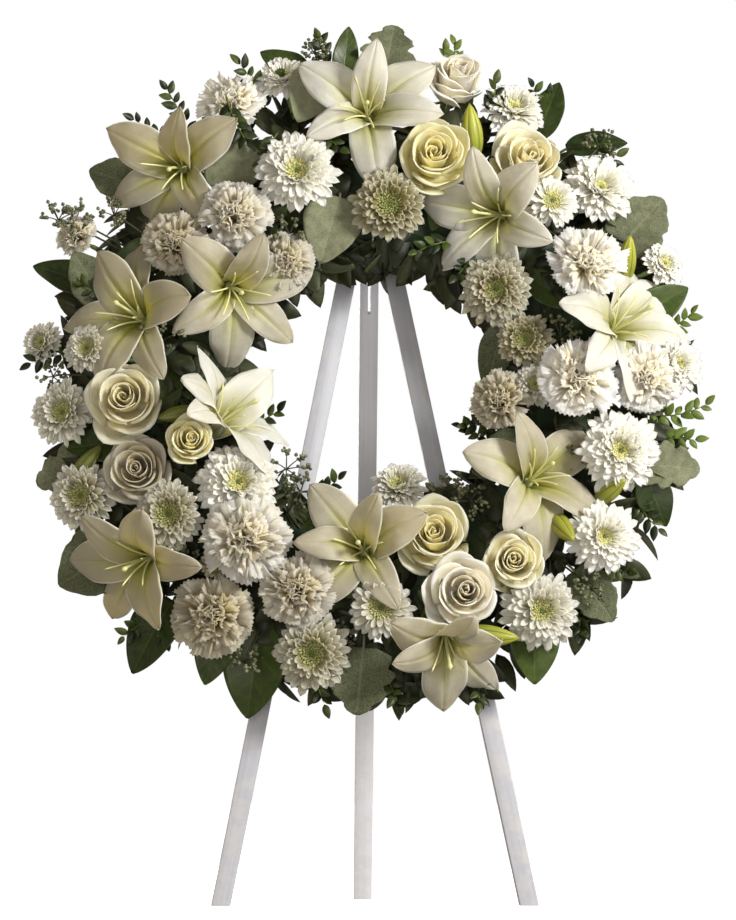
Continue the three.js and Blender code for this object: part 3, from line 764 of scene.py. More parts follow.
def rose_skin():
    finish = petal_finish("rose_petals", 0.6, 0.008, 0.25)
    flat, _, along = finish.petal_map()
    outer = finish.stored("outer")
    yellow = finish.stored("yellow")
    veins = finish.noise(finish.stretch(flat, 30, 3, 1), 1.0, 4)
    cloud = finish.noise(finish.here(), 70, 3)
    heart = finish.mix(yellow, ROSE_BLUSH, ROSE_HEART)
    skin = finish.mix(yellow, ROSE_WHITE, ROSE_CREAM)
    depth = (1 - outer.within(0.0, 0.7)) * 0.55 + (1 - along.within(0.4, 0.98)) * 0.6
    colour = finish.mix(depth.within(0.0, 1.1), skin, heart)
    colour = finish.mix(along.within(0.88, 1.0) * 0.4, colour, ROSE_WHITE)
    colour = finish.mix(veins.within(0.5, 0.8) * 0.12, colour, heart)
    # Painted shade and age: petals darkened towards tan by the rose's stored age and shade.
    colour = finish.mix(finish.stored("aged"), colour, ROSE_TAN)
    return finish.coat(colour, 0.5 + 0.15 * cloud, veins * 0.7 + cloud * 0.3, 0.15, 0.0006)


ROSE_PETAL, rose_u, rose_v = grid_pattern(12, 12)
rose_v = rose_v ** 0.75


def rose_petal(radius, share, turn, opening, draw):
    """One petal of a rose: a cupped sheet round the axis, from the hip up, that flares to its lip
    and rolls back there. Its middle runs out to a blunt point, and its sides are lower."""
    u, v = rose_u, rose_v
    wrap = math.radians(np.interp(share, [0, 0.12, 0.35, 0.6, 1], [132, 104, 76, 68, 52]))
    lip = radius * (0.05 + 0.83 * share * opening) * draw.uniform(0.93, 1.08)
    height = radius * np.interp(share, [0, 0.15, 0.35, 0.6, 1], [0.24, 0.30, 0.33, 0.24, -0.14])
    height += radius * (0.45 * (1 - opening) + draw.uniform(-0.05, 0.05))
    sides = np.abs(u) ** 2.4
    point = (1 - np.abs(u)) ** 1.3 * share * draw.uniform(0.6, 1.5)
    top = height - radius * (0.07 + 0.34 * share) * sides
    edge = lip * (1 + 0.15 * point - 0.12 * share * sides) + radius * (0.015 + 0.03 * share) * u
    rim = 0.80
    t = np.clip(v / rim, 0, 1)
    up = np.clip((v - rim) / (1 - rim), 0, 1)
    slope = 0.32 - 0.10 * share
    waist = edge * (0.90 - 0.22 * share)
    foot, base = 0.10 * radius, -0.70 * radius
    out = ((1 - t) ** 3 * foot + 3 * t * (1 - t) ** 2 * edge * 0.98
           + 3 * t ** 2 * (1 - t) * waist + t ** 3 * edge)
    rise = ((1 - t) ** 3 * base + 3 * t * (1 - t) ** 2 * (base * 0.86)
            + 3 * t ** 2 * (1 - t) * (top - slope * radius) + t ** 3 * top)
    flare = np.arctan2(edge - waist, slope * radius)
    rolled = math.radians(np.interp(share, [0, 0.4, 0.6, 1], [5, 40, 90, 112])) * draw.uniform(0.7, 1.25)
    bend = flare + rolled * up * (1.15 - 0.45 * point)
    curl = radius * (0.007 + 0.036 * share)
    out = out + curl * (np.cos(flare) - np.cos(bend))
    rise = rise + curl * (np.sin(bend) - np.sin(flare))
    phase = draw.uniform(0, FULL_TURN, 3)
    frill = radius * (0.030 * np.sin(u * 3.0 + phase[0]) + 0.007 * np.sin(u * 9 + phase[1]))
    frill = frill * (0.3 + 0.7 * share)
    ripple = radius * 0.035 * share * np.sin(u * 2.2 + phase[2])
    ripple = ripple * np.clip(v * 1.5 - 0.3, 0, 1) * (1 - up)
    out = out + frill * v ** 2 + ripple
    notched = 0.024 * np.sin(u * 5 + phase[2]) + 0.012 * np.sin(u * 11 + phase[0])
    rise = rise + radius * notched * v ** 4
    angle = turn + wrap * u * (0.45 + 0.55 * np.sin(math.pi / 2 * np.minimum(1, t * 1.4)))
    return np.stack([out * np.cos(angle), out * np.sin(angle), rise], 1)


def bloom_seat(clock, reach, proud):
    """Where a bloom's widest part sits on the dome, and its axes."""
    height, lean = dome_at(reach, BLOOM_RISE)
    face = clock_point(clock, math.sin(lean), math.cos(lean))
    return clock_point(clock, reach, height + proud), standing(face)


def bloom_stalk(clock, place, axes, radius, drop, cup, thick, tip):
    """A bloom's stem, and the green hip, tube or cup under its petals, whose sizes are shares of
    the bloom's radius. The cup has three heights on the bloom's axis."""
    under = rod([upwards(height * radius) for height in cup], thick * radius, tip)
    return [stem(clock, place - axes[2] * (drop * radius - 4)), in_frame(place + under @ axes)]


SEPAL_TURNS = [math.radians(72 * i) for i in range(5)]
rose_petals = rose_skin()
stalk_rods = []
for number, (clock, reach, radius, proud) in enumerate(ROSES, 1):
    draw = np.random.default_rng(ROSE_SEED + number)
    place, axes = bloom_seat(clock, reach, proud)
    opening = ROSE_OPENING[number - 1]
    shapes = []
    outers = []
    off_centre = np.append(draw.uniform(-0.08, 0.08, 2) * radius, 0)
    shares = [*np.linspace(0.01, 0.44, HEART_PETALS), *np.linspace(0.56, 0.68, CUP_PETALS),
              *np.linspace(0.82, 1, OUTER_PETALS)]
    for index, share in enumerate(shares):
        turn = index * GOLDEN_TURN + draw.uniform(-0.35, 0.35)
        loose = np.append(draw.uniform(-0.055, 0.055, 2) * radius * (0.05 < share < 0.5), 0)
        shape = rose_petal(radius, share, turn, opening, draw) + off_centre * (1 - share) + loose
        shapes.append(in_frame(place + shape @ axes))
        outers.append(share)
    flower = sewn(f"rose_{number:02}_petals", ROSE_PETAL, shapes, outer=outers,
                  yellow=ROSE_YELLOW[number - 1], aged=ROSE_AGE_AND_SHADE[number - 1])
    settle(thicken(flower, PETAL_WALL), rose_petals, [f"rose_{number:02}"])
    stalk_rods += bloom_stalk(clock, place, axes, radius, 0.75, (-0.95, -0.8, -0.62), 0.10, 1.7)
    for turn in SEPAL_TURNS:
        out = outwards(turn) * radius
        sepal = [out * far + upwards(height * radius)
                 for far, height in ((0.1, -0.74), (0.6, -0.80), (0.80, -0.48))]
        stalk_rods.append(in_frame(place + rod(sepal, 2.4, 0.1) @ axes))
settle_stalks("rose_stalks_and_sepals", stalk_rods, BLOOM_TENDER)

# ---------------------------------------------------------------- carnations
# Twelve carnations. Each is a crowd of fan-shaped petals with pinked and ruffled edges, tight as a
# maze in the heart and wide at the rim, bursting out of a green tube.

# Each as clock, reach, radius and how far it stands proud of the dome.
CARNATIONS = [
    (335, 322, 34, 0), (320, 210, 35, 0), (305, 235, 32, -4), (61, 234, 36, 4), (90, 195, 38, 0),
    (98, 123, 28, 0), (218, 204, 42, 4), (214, 277, 38, 0), (200, 223, 35, 0), (89, 261, 34, -4),
    (324, 147, 28, -6), (299, 328, 21, 0),
]
CARNATION_SEED = 300
CARNATION_PETALS = 46
CARNATION_WALL = 0.0004
# How far each carnation is darkened towards brown: partly age, partly painted shade for the blooms away
# from the key lamp.
CARNATION_AGE_AND_SHADE = [0.05, 0.52, 0.9, 0.1, 0.0, 0.95, 0.45, 0.95, 0.75, 0.1, 0.8, 0.7]
CARNATION_WHITE = (0.95, 0.91, 0.78, 1)
CARNATION_CREAM = (0.79, 0.70, 0.47, 1)
CARNATION_OLD_AND_SHADED = (0.28, 0.215, 0.11, 1)


def carnation_skin():
    finish = petal_finish("carnation_petals", 0.6, 0.006, 0.2)
    flat, _, along = finish.petal_map()
    outer = finish.stored("outer")
    veins = finish.noise(finish.stretch(flat, 40, 3, 1), 1.0, 3)
    depth = (1 - along.within(0.5, 1.0)) * 0.8 + (1 - outer.within(0.15, 0.8)) * 0.5
    colour = finish.mix(depth.within(0.0, 1.0), CARNATION_WHITE, CARNATION_CREAM)
    # Painted shade and age: petals darkened towards brown, most at their feet.
    aged = finish.stored("aged") * (1.12 - along.within(0.5, 1.0) * 0.4)
    colour = finish.mix(aged, colour, CARNATION_OLD_AND_SHADED)
    colour = finish.mix(veins.within(0.5, 0.8) * 0.15, colour, CARNATION_CREAM)
    return finish.coat(colour, 0.68 + 0.15 * veins, veins, 0.2, 0.0005)


CARNATION_PETAL, frill_u, frill_v = grid_pattern(18, 4)


def carnation_petal(radius, share, turn, draw):
    """One petal: a narrow claw that opens into a fan, more and more ruffled towards its edge. Those
    in the heart stand every way, and the guard petals at the rim lie wide and flatter."""
    u, v = frill_u, frill_v
    guard = max(0.0, (share - 0.55) / 0.45)
    leaning = math.radians(np.interp(share, [0, 0.55, 1], [0, 54, 90]) + draw.uniform(-9, 9))
    size = radius * draw.uniform(0.90, 1.10)
    turned = turn + math.radians(draw.uniform(-75, 75)) * (1 - guard)
    out = outwards(turn)
    side = sideways(turned)
    tip = out * math.sin(leaning) * size + upwards(math.cos(leaning) * 0.54 * size)
    path = [upwards(-0.55 * radius), out * 0.10 * radius + upwards(-0.08 * radius),
            tip * 0.58 + upwards(0.13 * radius), tip]
    middle, way = bezier(v, path)
    normal = np.cross(way, side)
    normal /= np.linalg.norm(normal, axis=1)[:, None]
    half = radius * (0.05 + (0.30 + 0.26 * guard) * v ** 1.3)
    lobe = -size * 0.16 * u ** 2 * v ** 2
    teeth = 0.026 * size * np.cos(math.pi * 9 * (u + 1)) * (v > 0.99)
    waves = draw.uniform(1.3, 2.1) * (1 - 0.3 * guard)
    phase = draw.uniform(0, FULL_TURN, 2)
    ruffle = np.sin(u * waves * math.pi + phase[0])
    ruffle = ruffle + 0.4 * np.sin(u * waves * 2.4 * math.pi + phase[1])
    ruffle = ruffle * radius * (0.120 - 0.07 * guard) * v ** 2.4
    return middle + side * (u * half)[:, None] + normal * ruffle[:, None] + way * (teeth + lobe)[:, None]


carnation_petals = carnation_skin()
stalk_rods = []
for number, (clock, reach, radius, proud) in enumerate(CARNATIONS, 1):
    draw = np.random.default_rng(CARNATION_SEED + number)
    place, axes = bloom_seat(clock, reach, proud)
    shapes = []
    outers = []
    for index in range(CARNATION_PETALS):
        share = index / (CARNATION_PETALS - 1)
        turn = index * GOLDEN_TURN + draw.uniform(-0.3, 0.3)
        shapes.append(in_frame(place + carnation_petal(radius, share, turn, draw) @ axes))
        outers.append(share)
    name = f"carnation_{number:02}"
    aged = CARNATION_AGE_AND_SHADE[number - 1]
    flower = sewn(f"{name}_petals", CARNATION_PETAL, shapes, outer=outers, aged=aged)
    node = [name] if name in frame["nodes"] else []
    settle(thicken(flower, CARNATION_WALL), carnation_petals, node)
    stalk_rods += bloom_stalk(clock, place, axes, radius, 0.85, (-0.95, -0.7, -0.3), 0.17, 1.35)
settle_stalks("carnation_stalks_and_tubes", stalk_rods, BLOOM_TENDER)

# ---------------------------------------------------------------- chrysanthemums
# Twenty-four spray chrysanthemums, from full cushions to daisy-like ones. Each has rows of white
# strap florets round an eye of tiny green-yellow tubes that sink to a dark pit in the middle.

# Each as clock, reach, radius, proud, rows of florets and the eye's share of the radius.
CHRYSANTHEMUMS = [
    (340, 218, 41, 6, 5, 0.22), (5, 176, 38, -6, 4, 0.28), (26, 317, 34, 0, 5, 0.22),
    (48, 296, 38, 0, 6, 0.16), (52, 150, 37, -8, 5, 0.20), (107, 244, 41, 4, 6, 0.18),
    (125, 266, 36, 0, 5, 0.18), (145, 274, 39, 0, 4, 0.24), (179, 226, 32, 4, 3, 0.30),
    (193, 274, 39, 0, 4, 0.26), (232, 168, 42, 0, 5, 0.20), (236, 239, 35, 0, 4, 0.28),
    (249, 301, 35, 0, 4, 0.26),
    (345, 330, 29, 0, 4, 0.22), (44, 248, 27, 2, 3, 0.30), (74, 151, 29, -6, 4, 0.22),
    (91, 155, 23, -8, 4, 0.22), (86, 292, 29, 0, 5, 0.18), (166, 97, 29, 0, 4, 0.26),
    (265, 300, 34, 0, 4, 0.24), (279, 324, 23, 0, 4, 0.24), (277, 278, 25, 0, 4, 0.26),
    (220, 238, 16, 0, 3, 0.40), (66, 309, 23, 0, 4, 0.22),
]
MUM_SEED = 400
MUM_NAMED = 13
FLORET_SPREAD = 1.16
# How far each chrysanthemum is darkened towards olive: partly age, partly painted shade for the blooms
# away from the key lamp.
MUM_AGE_AND_SHADE = [0.12, 1.05, 0.0, 0.0, 0.95, 0.0, 0.0, 0.4, 0.6, 0.85, 0.05, 0.8, 0.7,
            0.0, 0.05, 1.1, 0.6, 0.1, 0.35, 0.55, 0.5, 0.6, 1.0, 0.0]
MUM_WHITE = (0.96, 0.94, 0.83, 1)
MUM_SHADE = (0.75, 0.735, 0.53, 1)
MUM_OLD_AND_SHADED = (0.24, 0.205, 0.085, 1)
EYE_YELLOW = (0.72, 0.69, 0.35, 1)
EYE_GREEN = (0.56, 0.545, 0.23, 1)
EYE_PIT = (0.14, 0.18, 0.035, 1)


def mum_skin():
    finish = petal_finish("chrysanthemum_florets", 0.6, 0.006, 0.3, (1.0, 0.9, 0.6))
    foot = finish.stored("foot")
    outer = finish.stored("outer")
    ribs = finish.noise(finish.here(), 500, 3)
    cloud = finish.noise(finish.here(), 60, 3)
    own = finish.stored("own")
    shade = (1 - foot.within(0.0, 0.75)) * 0.65 + (1 - outer.within(0.0, 0.6)) * 0.2 + own * 0.25
    colour = finish.mix(shade.within(0.0, 1.1), MUM_WHITE, MUM_SHADE)
    colour = finish.mix(cloud.within(0.45, 0.8) * 0.18, colour, MUM_SHADE)
    # Painted shade and age: florets darkened towards olive, most at their feet.
    aged = finish.stored("aged") * (1.12 - foot.within(0.3, 1.0) * 0.5)
    colour = finish.mix(aged, colour, MUM_OLD_AND_SHADED)
    return finish.coat(colour, 0.5 + 0.15 * ribs, ribs, 0.2, 0.0004)


def eye_skin():
    finish = Finish("chrysanthemum_eye", Subsurface_Weight=0.08, Subsurface_Scale=0.002)
    rim = finish.stored("rim")
    speck = finish.noise(finish.here(), 700, 2)
    colour = finish.mix((rim * 0.9 + speck * 0.3 - 0.1).within(0.25, 0.85), EYE_GREEN, EYE_YELLOW)
    colour = finish.mix(1 - rim.within(0.02, 0.25), colour, EYE_PIT)
    # The eye is darkened towards its pit colour by the same age and painted shade.
    colour = finish.mix(finish.stored("aged") * 0.6, colour, EYE_PIT)
    return finish.coat(colour, 0.55, speck, 0.3, 0.0004)


FLORET, floret_turn, floret_v = ball_pattern(8, 6)
EYE_TUBE, tube_turn, tube_v = ball_pattern(4, 4)


def sloping(out, slope):
    """A direction that rises from straight outwards by a slope."""
    return out * math.cos(slope) + upwards(math.sin(slope))


def floret(radius, share, eye, turn, draw):
    """One strap floret: a grooved trough from the eye's edge, outwards, with a blunt point."""
    v = 1 - (1 - floret_v) ** 1.2
    length = radius * (1 - eye * 0.75) * np.interp(share, [0, 1], [0.42, 1.0])
    length = length * draw.uniform(0.82, 1.06)
    width = radius * np.interp(share, [0, 1], [0.074, 0.105]) * draw.uniform(0.85, 1.14)
    steep = math.radians(np.interp(share, [0, 0.5, 1], [66, 36, 6]) + draw.uniform(-10, 10))
    ending = math.radians(np.interp(share, [0, 0.5, 1], [74, 24, -12]) + draw.uniform(-16, 16))
    out = outwards(turn)
    side = sideways(turn, draw.uniform(-0.25, 0.25))
    foot = out * radius * eye * np.interp(share, [0, 1], [0.95, 0.55])
    foot = foot + upwards(radius * (0.10 - 0.22 * share))
    knee = foot + sloping(out, steep) * length * 0.5
    tip = knee + sloping(out, ending) * length * 0.5
    middle, way = bezier(v, [foot, knee, tip])
    normal = np.cross(way, side)
    point = (1 - np.clip((v - 0.62) / 0.38, 0, 1) ** 2.4) ** 0.55
    strap = (0.34 + 0.66 * np.sin(math.pi / 2 * np.minimum(1, v / 0.6))) * point
    closing = np.sin(math.pi * floret_v)
    half = width * strap * np.minimum(1, closing * 5)
    x = np.cos(floret_turn)
    rise = x ** 2 * half * 0.6 + np.sin(floret_turn) * 0.35 * np.minimum(1, closing * 3)
    return middle + side * (x * half)[:, None] + normal * rise[:, None]


def eye_tube(radius, eye, share, turn):
    """One tiny tube of the eye: upright in the middle, leaning out and taller towards the edge."""
    reach = radius * eye * math.sqrt(share)
    lean = math.radians(55) * share
    out = outwards(turn)
    way = out * math.sin(lean) + upwards(math.cos(lean))
    side = sideways(turn)
    length = radius * (0.09 + 0.16 * share) * (1 + 0.3 * math.sin(turn * 7))
    thick = radius * 0.035 * np.sin(math.pi * tube_v) ** 0.5 * (0.6 + 0.8 * tube_v)
    foot = out * reach * 0.85 + upwards(radius * (0.02 + 0.05 * share))
    middle = foot + way * (tube_v * length)[:, None]
    return around(middle, side, np.cross(way, side), tube_turn, thick)


mum_florets = mum_skin()
mum_eyes = eye_skin()
stalk_rods = []
for number, (clock, reach, radius, proud, rows, eye) in enumerate(CHRYSANTHEMUMS, 1):
    draw = np.random.default_rng(MUM_SEED + number)
    spread = radius * FLORET_SPREAD
    place, axes = bloom_seat(clock, reach, proud)
    shapes = []
    outers = []
    for row in range(rows):
        share = (row + 0.5) / rows if rows > 3 else 0.35 + 0.65 * row / (rows - 1)
        count = round(np.interp(share, [0, 1], [16, 31]) * (0.74 if rows == 3 else 1))
        start = draw.uniform(0, FULL_TURN)
        for index in range(count):
            own = share + draw.uniform(-0.5, 0.5) / rows * 0.6
            turn = start + (index + draw.uniform(-0.2, 0.2)) * 2 * math.pi / count
            shapes.append(in_frame(place + floret(spread, own, eye, turn, draw) @ axes))
            outers.append(share)
    name = f"chrysanthemum_{number:02}"
    feet = [floret_v] * len(shapes)
    owns = list(draw.uniform(0, 1, len(shapes)))
    aged = MUM_AGE_AND_SHADE[number - 1]
    flower = sewn(f"{name}_florets", FLORET, shapes, outer=outers, foot=feet, own=owns, aged=aged)
    node = [name] if number <= MUM_NAMED else []
    settle(flower, mum_florets, node)
    tubes = round(44 + 150 * eye)
    rims = [(index + 0.5) / tubes for index in range(tubes)]
    shapes = [in_frame(place + eye_tube(radius, eye, rim, index * GOLDEN_TURN) @ axes)
              for index, rim in enumerate(rims)]
    disc = sewn(f"{name}_eye", EYE_TUBE, shapes, rim=rims, aged=aged)
    settle(disc, mum_eyes)
    stalk_rods += bloom_stalk(clock, place, axes, radius, 0.35, (-0.45, -0.25, 0.02), 0.12, 2.4)
settle_stalks("chrysanthemum_stalks_and_cups", stalk_rods, BLOOM_TENDER)

# ---------------------------------------------------------------- lily buds
# Closed lily buds, yellow-green, each of six tepals pressed together with a seam between them.
# They stand on thin stalks of their own, pushed into the foam among the flowers.

# Each as clock, reach, height, length, heading on the ring's face, rise towards the viewer and how
# far it is darkened towards olive, which is painted shade.
BUDS = [
    (21, 268, 84, 60, 355, 25, 0.1), (63, 275, 74, 55, 10, 40, 0.1), (260, 193, 92, 42, 255, 10, 0.8),
    (129, 229, 92, 55, 150, 40, 0.4), (157, 272, 86, 62, 95, 10, 0.3), (116, 250, 92, 48, 60, 45, 0.4),
    (254.5, 288, 66, 50, 40, 15, 0.9),
]
BUD_STEM_RADIUS = 2
BUD_GREEN = (0.17, 0.21, 0.03, 1)
BUD_YELLOW = (0.44, 0.45, 0.05, 1)
BUD_SHADE_OLIVE = (0.10, 0.115, 0.022, 1)
BUD_SEAM = (0.07, 0.10, 0.012, 1)


def bud_skin():
    finish = Finish("lily_bud", Subsurface_Weight=0.12, Subsurface_Scale=0.004)
    seam = finish.stored("seam")
    along = finish.stored("foot")
    cloud = finish.noise(finish.here(), 80, 3)
    colour = finish.mix((along * 0.7 + cloud * 0.4).within(0.1, 0.8), BUD_GREEN, BUD_YELLOW)
    # Painted shade: buds set back in shade are darkened towards olive by their stored number.
    colour = finish.mix(finish.stored("green"), colour, BUD_SHADE_OLIVE)
    colour = finish.mix(seam.within(0.5, 1.0) * 0.8, colour, BUD_SEAM)
    return finish.coat(colour, 0.42, cloud, 0.15, 0.0005)


BUD, bud_turn, bud_v = ball_pattern(36, 12)


def heading_axes(heading, rise, roll=0.0):
    """Axes of something that points along the ring's face, by the clock, and rises off it."""
    up = math.radians(rise)
    way = clock_point(heading, math.cos(up), math.sin(up))
    face = clock_point(heading, -math.sin(up), math.cos(up))
    side = np.cross(way, face)
    face = face * math.cos(math.radians(roll)) + side * math.sin(math.radians(roll))
    return pointing(way, face)


bud_material = bud_skin()
stalk_rods = []
for number, (clock, reach, height, length, heading, rise, green) in enumerate(BUDS, 1):
    axes = heading_axes(heading, rise)
    seam = np.abs(np.cos(bud_turn * 3 + 0.5)) ** 10
    fat = length * 0.185 * np.sin(math.pi * bud_v ** 0.85) ** 0.75 * (1 - 0.14 * seam)
    shape = np.stack([np.cos(bud_turn) * fat, bud_v * length, np.sin(bud_turn) * fat], 1)
    foot = clock_point(clock, reach, height) - axes[1] * length / 2
    shades = {"seam": [seam], "foot": [bud_v], "green": green}
    bud = sewn(f"lily_bud_{number:02}", BUD, [in_frame(foot + shape @ axes)], **shades)
    settle(bud, bud_material)
    stalk_rods.append(stem(clock, foot + axes[1] * 3, BUD_STEM_RADIUS))
settle_stalks("lily_bud_stalks", stalk_rods, 0.1)

# ---------------------------------------------------------------- broad leaves
# Salal leaves, smooth and dark green, and dusty miller leaves, silvery with a felt of fine hairs and
# a lobed edge. Each is a single leaf on a short stalk, set between the flowers and round the rim.

# Each as clock, reach and height of its middle, length, width, heading, rise and roll.
SALAL = [
    (292, 322, 40, 62, 38, 300, 5, 20), (31, 335, 42, 62, 36, 18, 5, -20),
    (346, 345, 40, 56, 32, 305, 0, 15), (356, 345, 42, 56, 26, 8, 5, 10),
    (203, 300, 52, 88, 62, 192, -5, 10), (149, 296, 60, 72, 50, 176, -5, -10),
    (41, 335, 44, 60, 32, 80, 5, -25), (112, 292, 60, 52, 36, 160, 0, 10),
    (222, 322, 40, 80, 52, 214, -10, 20), (258, 268, 66, 66, 40, 268, 5, 10),
    (211, 300, 52, 62, 40, 196, 0, 0), (73, 292, 64, 62, 36, 60, 5, 10),
    (300, 262, 64, 60, 36, 250, 10, 0), (150, 196, 66, 60, 34, 330, 10, 0),
    (98, 170, 60, 56, 34, 300, 10, 0), (186, 196, 70, 50, 30, 90, 10, 0),
    (270, 200, 70, 60, 34, 20, 10, 0), (330, 190, 66, 56, 32, 60, 10, 0),
    (60, 196, 66, 56, 32, 130, 10, 0), (20, 196, 66, 54, 30, 200, 10, 0),
]
# The same, and how silvery, how lobed.
MILLER = [
    (345, 160, 86, 66, 58, 196, 8, 0, 0.6, 0.1), (3, 348, 44, 52, 56, 12, 10, 0, 0.3, 1.0),
    (57, 312, 50, 66, 62, 40, 10, 0, 0.3, 0.5), (105, 296, 62, 56, 50, 95, 5, 0, 0.5, 0.8),
    (183, 290, 66, 64, 66, 186, -5, 0, 0.05, 0.8), (255, 308, 46, 56, 52, 252, 5, 0, 0.4, 0.9),
    (238, 322, 38, 70, 70, 240, 0, 0, 0.05, 0.2), (329, 256, 78, 66, 54, 85, 10, 0, 0.6, 0.3),
    (311, 330, 40, 56, 46, 292, 0, 0, 0.15, 0.3), (349, 303, 66, 66, 52, 205, 20, 0, 0.8, 0.15),
    (74, 122, 62, 66, 34, 196, -10, 0, 0.1, 0.05), (292, 296, 58, 60, 44, 330, 10, 0, 0.3, 0.2),
    (134, 292, 60, 60, 50, 142, 5, 0, 0.1, 0.5), (118, 140, 60, 56, 42, 220, 0, 0, 0.1, 0.3),
]
SALAL_DARK = (0.014, 0.026, 0.005, 1)
SALAL_LIGHT = (0.065, 0.100, 0.016, 1)
MILLER_DARK = (0.035, 0.048, 0.018, 1)
MILLER_LIGHT = (0.27, 0.28, 0.18, 1)
SALAL_SEED = 500
MILLER_SEED = 540
LEAF_WALL = 0.0005

BROAD_LEAF, broad_u, broad_v = grid_pattern(14, 20)


def broad_leaf(length, width, lobed, draw):
    """A broad leaf as across, along and face: folded a little at the midrib, its edge waved."""
    u, v = broad_u, broad_v
    aside = np.abs(u)
    outline = np.sin(math.pi * (0.03 + 0.965 * v) ** (0.80 - 0.12 * lobed)) ** (0.75 - 0.25 * lobed)
    notches = np.abs(np.cos(v * 10.5 + 0.4)) ** 3
    lobes = 1 - lobed * 0.30 * notches * aside ** 2 - lobed * 0.05 * np.sin(v * 47) * aside ** 3
    half = width / 2 * outline * lobes + 0.2
    x = u * half
    sag = draw.uniform(0.10, 0.28) * length
    fold = draw.uniform(0.10, 0.25)
    swing = np.sin(v * draw.uniform(7, 11) + np.sign(u) * 1.4 + draw.uniform(0, 6))
    wave = (1.2 + 3.4 * lobed) * swing * aside ** 1.6
    veins = 0.5 * np.cos((v * 9 - aside * 2.2) * 2 * math.pi / 1.3) * aside * (1 - aside)
    z = np.abs(x) * fold - sag * v ** 2 + wave * np.sin(math.pi * v) - veins
    return np.stack([x, v * length, z], 1)


def broad_piece(name, spec, lobed, seed, own, material):
    clock, reach, height, length, width, heading, rise, roll = spec
    draw = np.random.default_rng(seed)
    axes = heading_axes(heading, rise, roll)
    foot = clock_point(clock, reach, height) - axes[1] * length * 0.5
    shape = in_frame(foot + broad_leaf(length, width, lobed, draw) @ axes)
    blade = thicken(sewn(name + "_blade", BROAD_LEAF, [shape], own=own), LEAF_WALL)
    root = clock_point(clock, MIDDLE_RADIUS + (reach - MIDDLE_RADIUS) * 0.3, STEM_ROOT)
    petiole = [root, foot - axes[1] * length * 0.3, foot + axes[1] * 3]
    stalk_part = sewn(name + "_petiole", ROD, [in_frame(rod(petiole, 1.3))], own=0.6)
    settle(joined(name, [blade, stalk_part]), material)


salal = leaf_green("salal_leaf", SALAL_DARK, SALAL_LIGHT, 0.28, 0.35)
miller = leaf_green("dusty_miller_leaf", MILLER_DARK, MILLER_LIGHT, 0.75, 0.15, 0.25)
for number, spec in enumerate(SALAL, 1):
    own = 0.2 + 0.09 * (number % 7)
    broad_piece(f"salal_leaf_{number:02}", spec, 0.0, SALAL_SEED + number, own, salal)
for number, (*spec, silver, lobed) in enumerate(MILLER, 1):
    name = f"dusty_miller_leaf_{number:02}"
    broad_piece(name, spec, lobed, MILLER_SEED + number, silver, miller)

# ---------------------------------------------------------------- huckleberry sprigs
# Twigs of evergreen huckleberry, with small leathery leaves set by turns along both sides. The four
# that reach furthest out stand for their own solids, and the others sit between the flowers.

# Each as clock, reach of the tip, height, length and heading of the tip.
SPRIGS = [
    (327, 366, 40, 70, 335), (320, 360, 42, 60, 310), (339, 356, 42, 60, 330), (352, 362, 44, 60, 355),
    (13, 366, 30, 60, 5), (21.5, 330, 62, 40, 15), (27, 352, 30, 60, 350), (99, 314, 56, 60, 105),
    (76, 318, 56, 55, 60), (256, 96, 62, 55, 70), (201, 98, 66, 50, 60), (113, 92, 56, 55, 300),
    (112, 96, 60, 45, 275), (18, 138, 84, 50, 250), (37, 134, 82, 50, 225), (176, 312, 60, 65, 165),
    (225, 340, 40, 60, 235), (219, 318, 46, 55, 190), (117, 306, 62, 55, 150), (127, 302, 64, 50, 110),
    (162, 322, 48, 50, 190), (333, 270, 86, 60, 160), (333, 236, 92, 50, 200), (30, 350, 36, 45, 25),
    (290, 300, 60, 60, 300), (286, 190, 84, 50, 200), (165, 206, 96, 45, 20), (205, 150, 84, 45, 330),
    (352, 236, 88, 45, 150), (266, 176, 84, 50, 10), (141, 312, 54, 50, 190), (45, 338, 46, 50, 60),
]
# Twigs at these clocks sit on the side the key lamp lights, and their leaves are painted a lighter
# green: painted light.
LIT_SIDE_CLOCKS = (13, 76, 99)
# The four sprigs with solids of their own, each as clock, reach and height of the tip.
NAMED_SPRIGS = {
    "left": (275, 338, 45), "right": (92, 328, 45), "top": (12, 368, 14), "bottom": (189, 320, 55),
}
# The named sprigs on the lit sides get the same painted light.
LIT_SIDES = ("right", "top")
SPRIG_FOOT = 240
SPRIG_LEAF = 18.0
NAMED_SEED = 600
SPRIG_SEED = 640
HUCKLE_DARK = (0.008, 0.015, 0.005, 1)
HUCKLE_LIGHT = (0.110, 0.160, 0.028, 1)


def sprig(points, draw):
    """A twig along a curve and its leaves: the twig's rod, then each leaf."""
    long = np.linalg.norm(np.asarray(points[0]) - np.asarray(points[-1]))
    pairs = max(6, round(long / 5.8))
    twig = rod(points, 1.0, 0.5)
    leaves = []
    stations = np.linspace(0.22, 1.0, pairs)
    places, ways = bezier(stations, points)
    for index, (spot, way) in enumerate(zip(places, ways)):
        side = (-1) ** index
        face = unit(np.array([draw.uniform(-0.4, 0.4), draw.uniform(-0.4, 0.4), 1.0]))
        across = unit(np.cross(way, face))
        forwards = way * draw.uniform(0.5, 0.9)
        beside = across * side * draw.uniform(0.6, 1.0) * (0.15 if index == pairs - 1 else 1)
        length = SPRIG_LEAF * draw.uniform(0.8, 1.15) * (1 - 0.25 * stations[index])
        shape = small_leaf(length, length * 0.6, 0.35, draw.uniform(-0.1, 0.15))
        ahead = forwards + beside + upwards(draw.uniform(-0.2, 0.4))
        leaves.append(spot + shape @ pointing(ahead, face))
    return twig, leaves


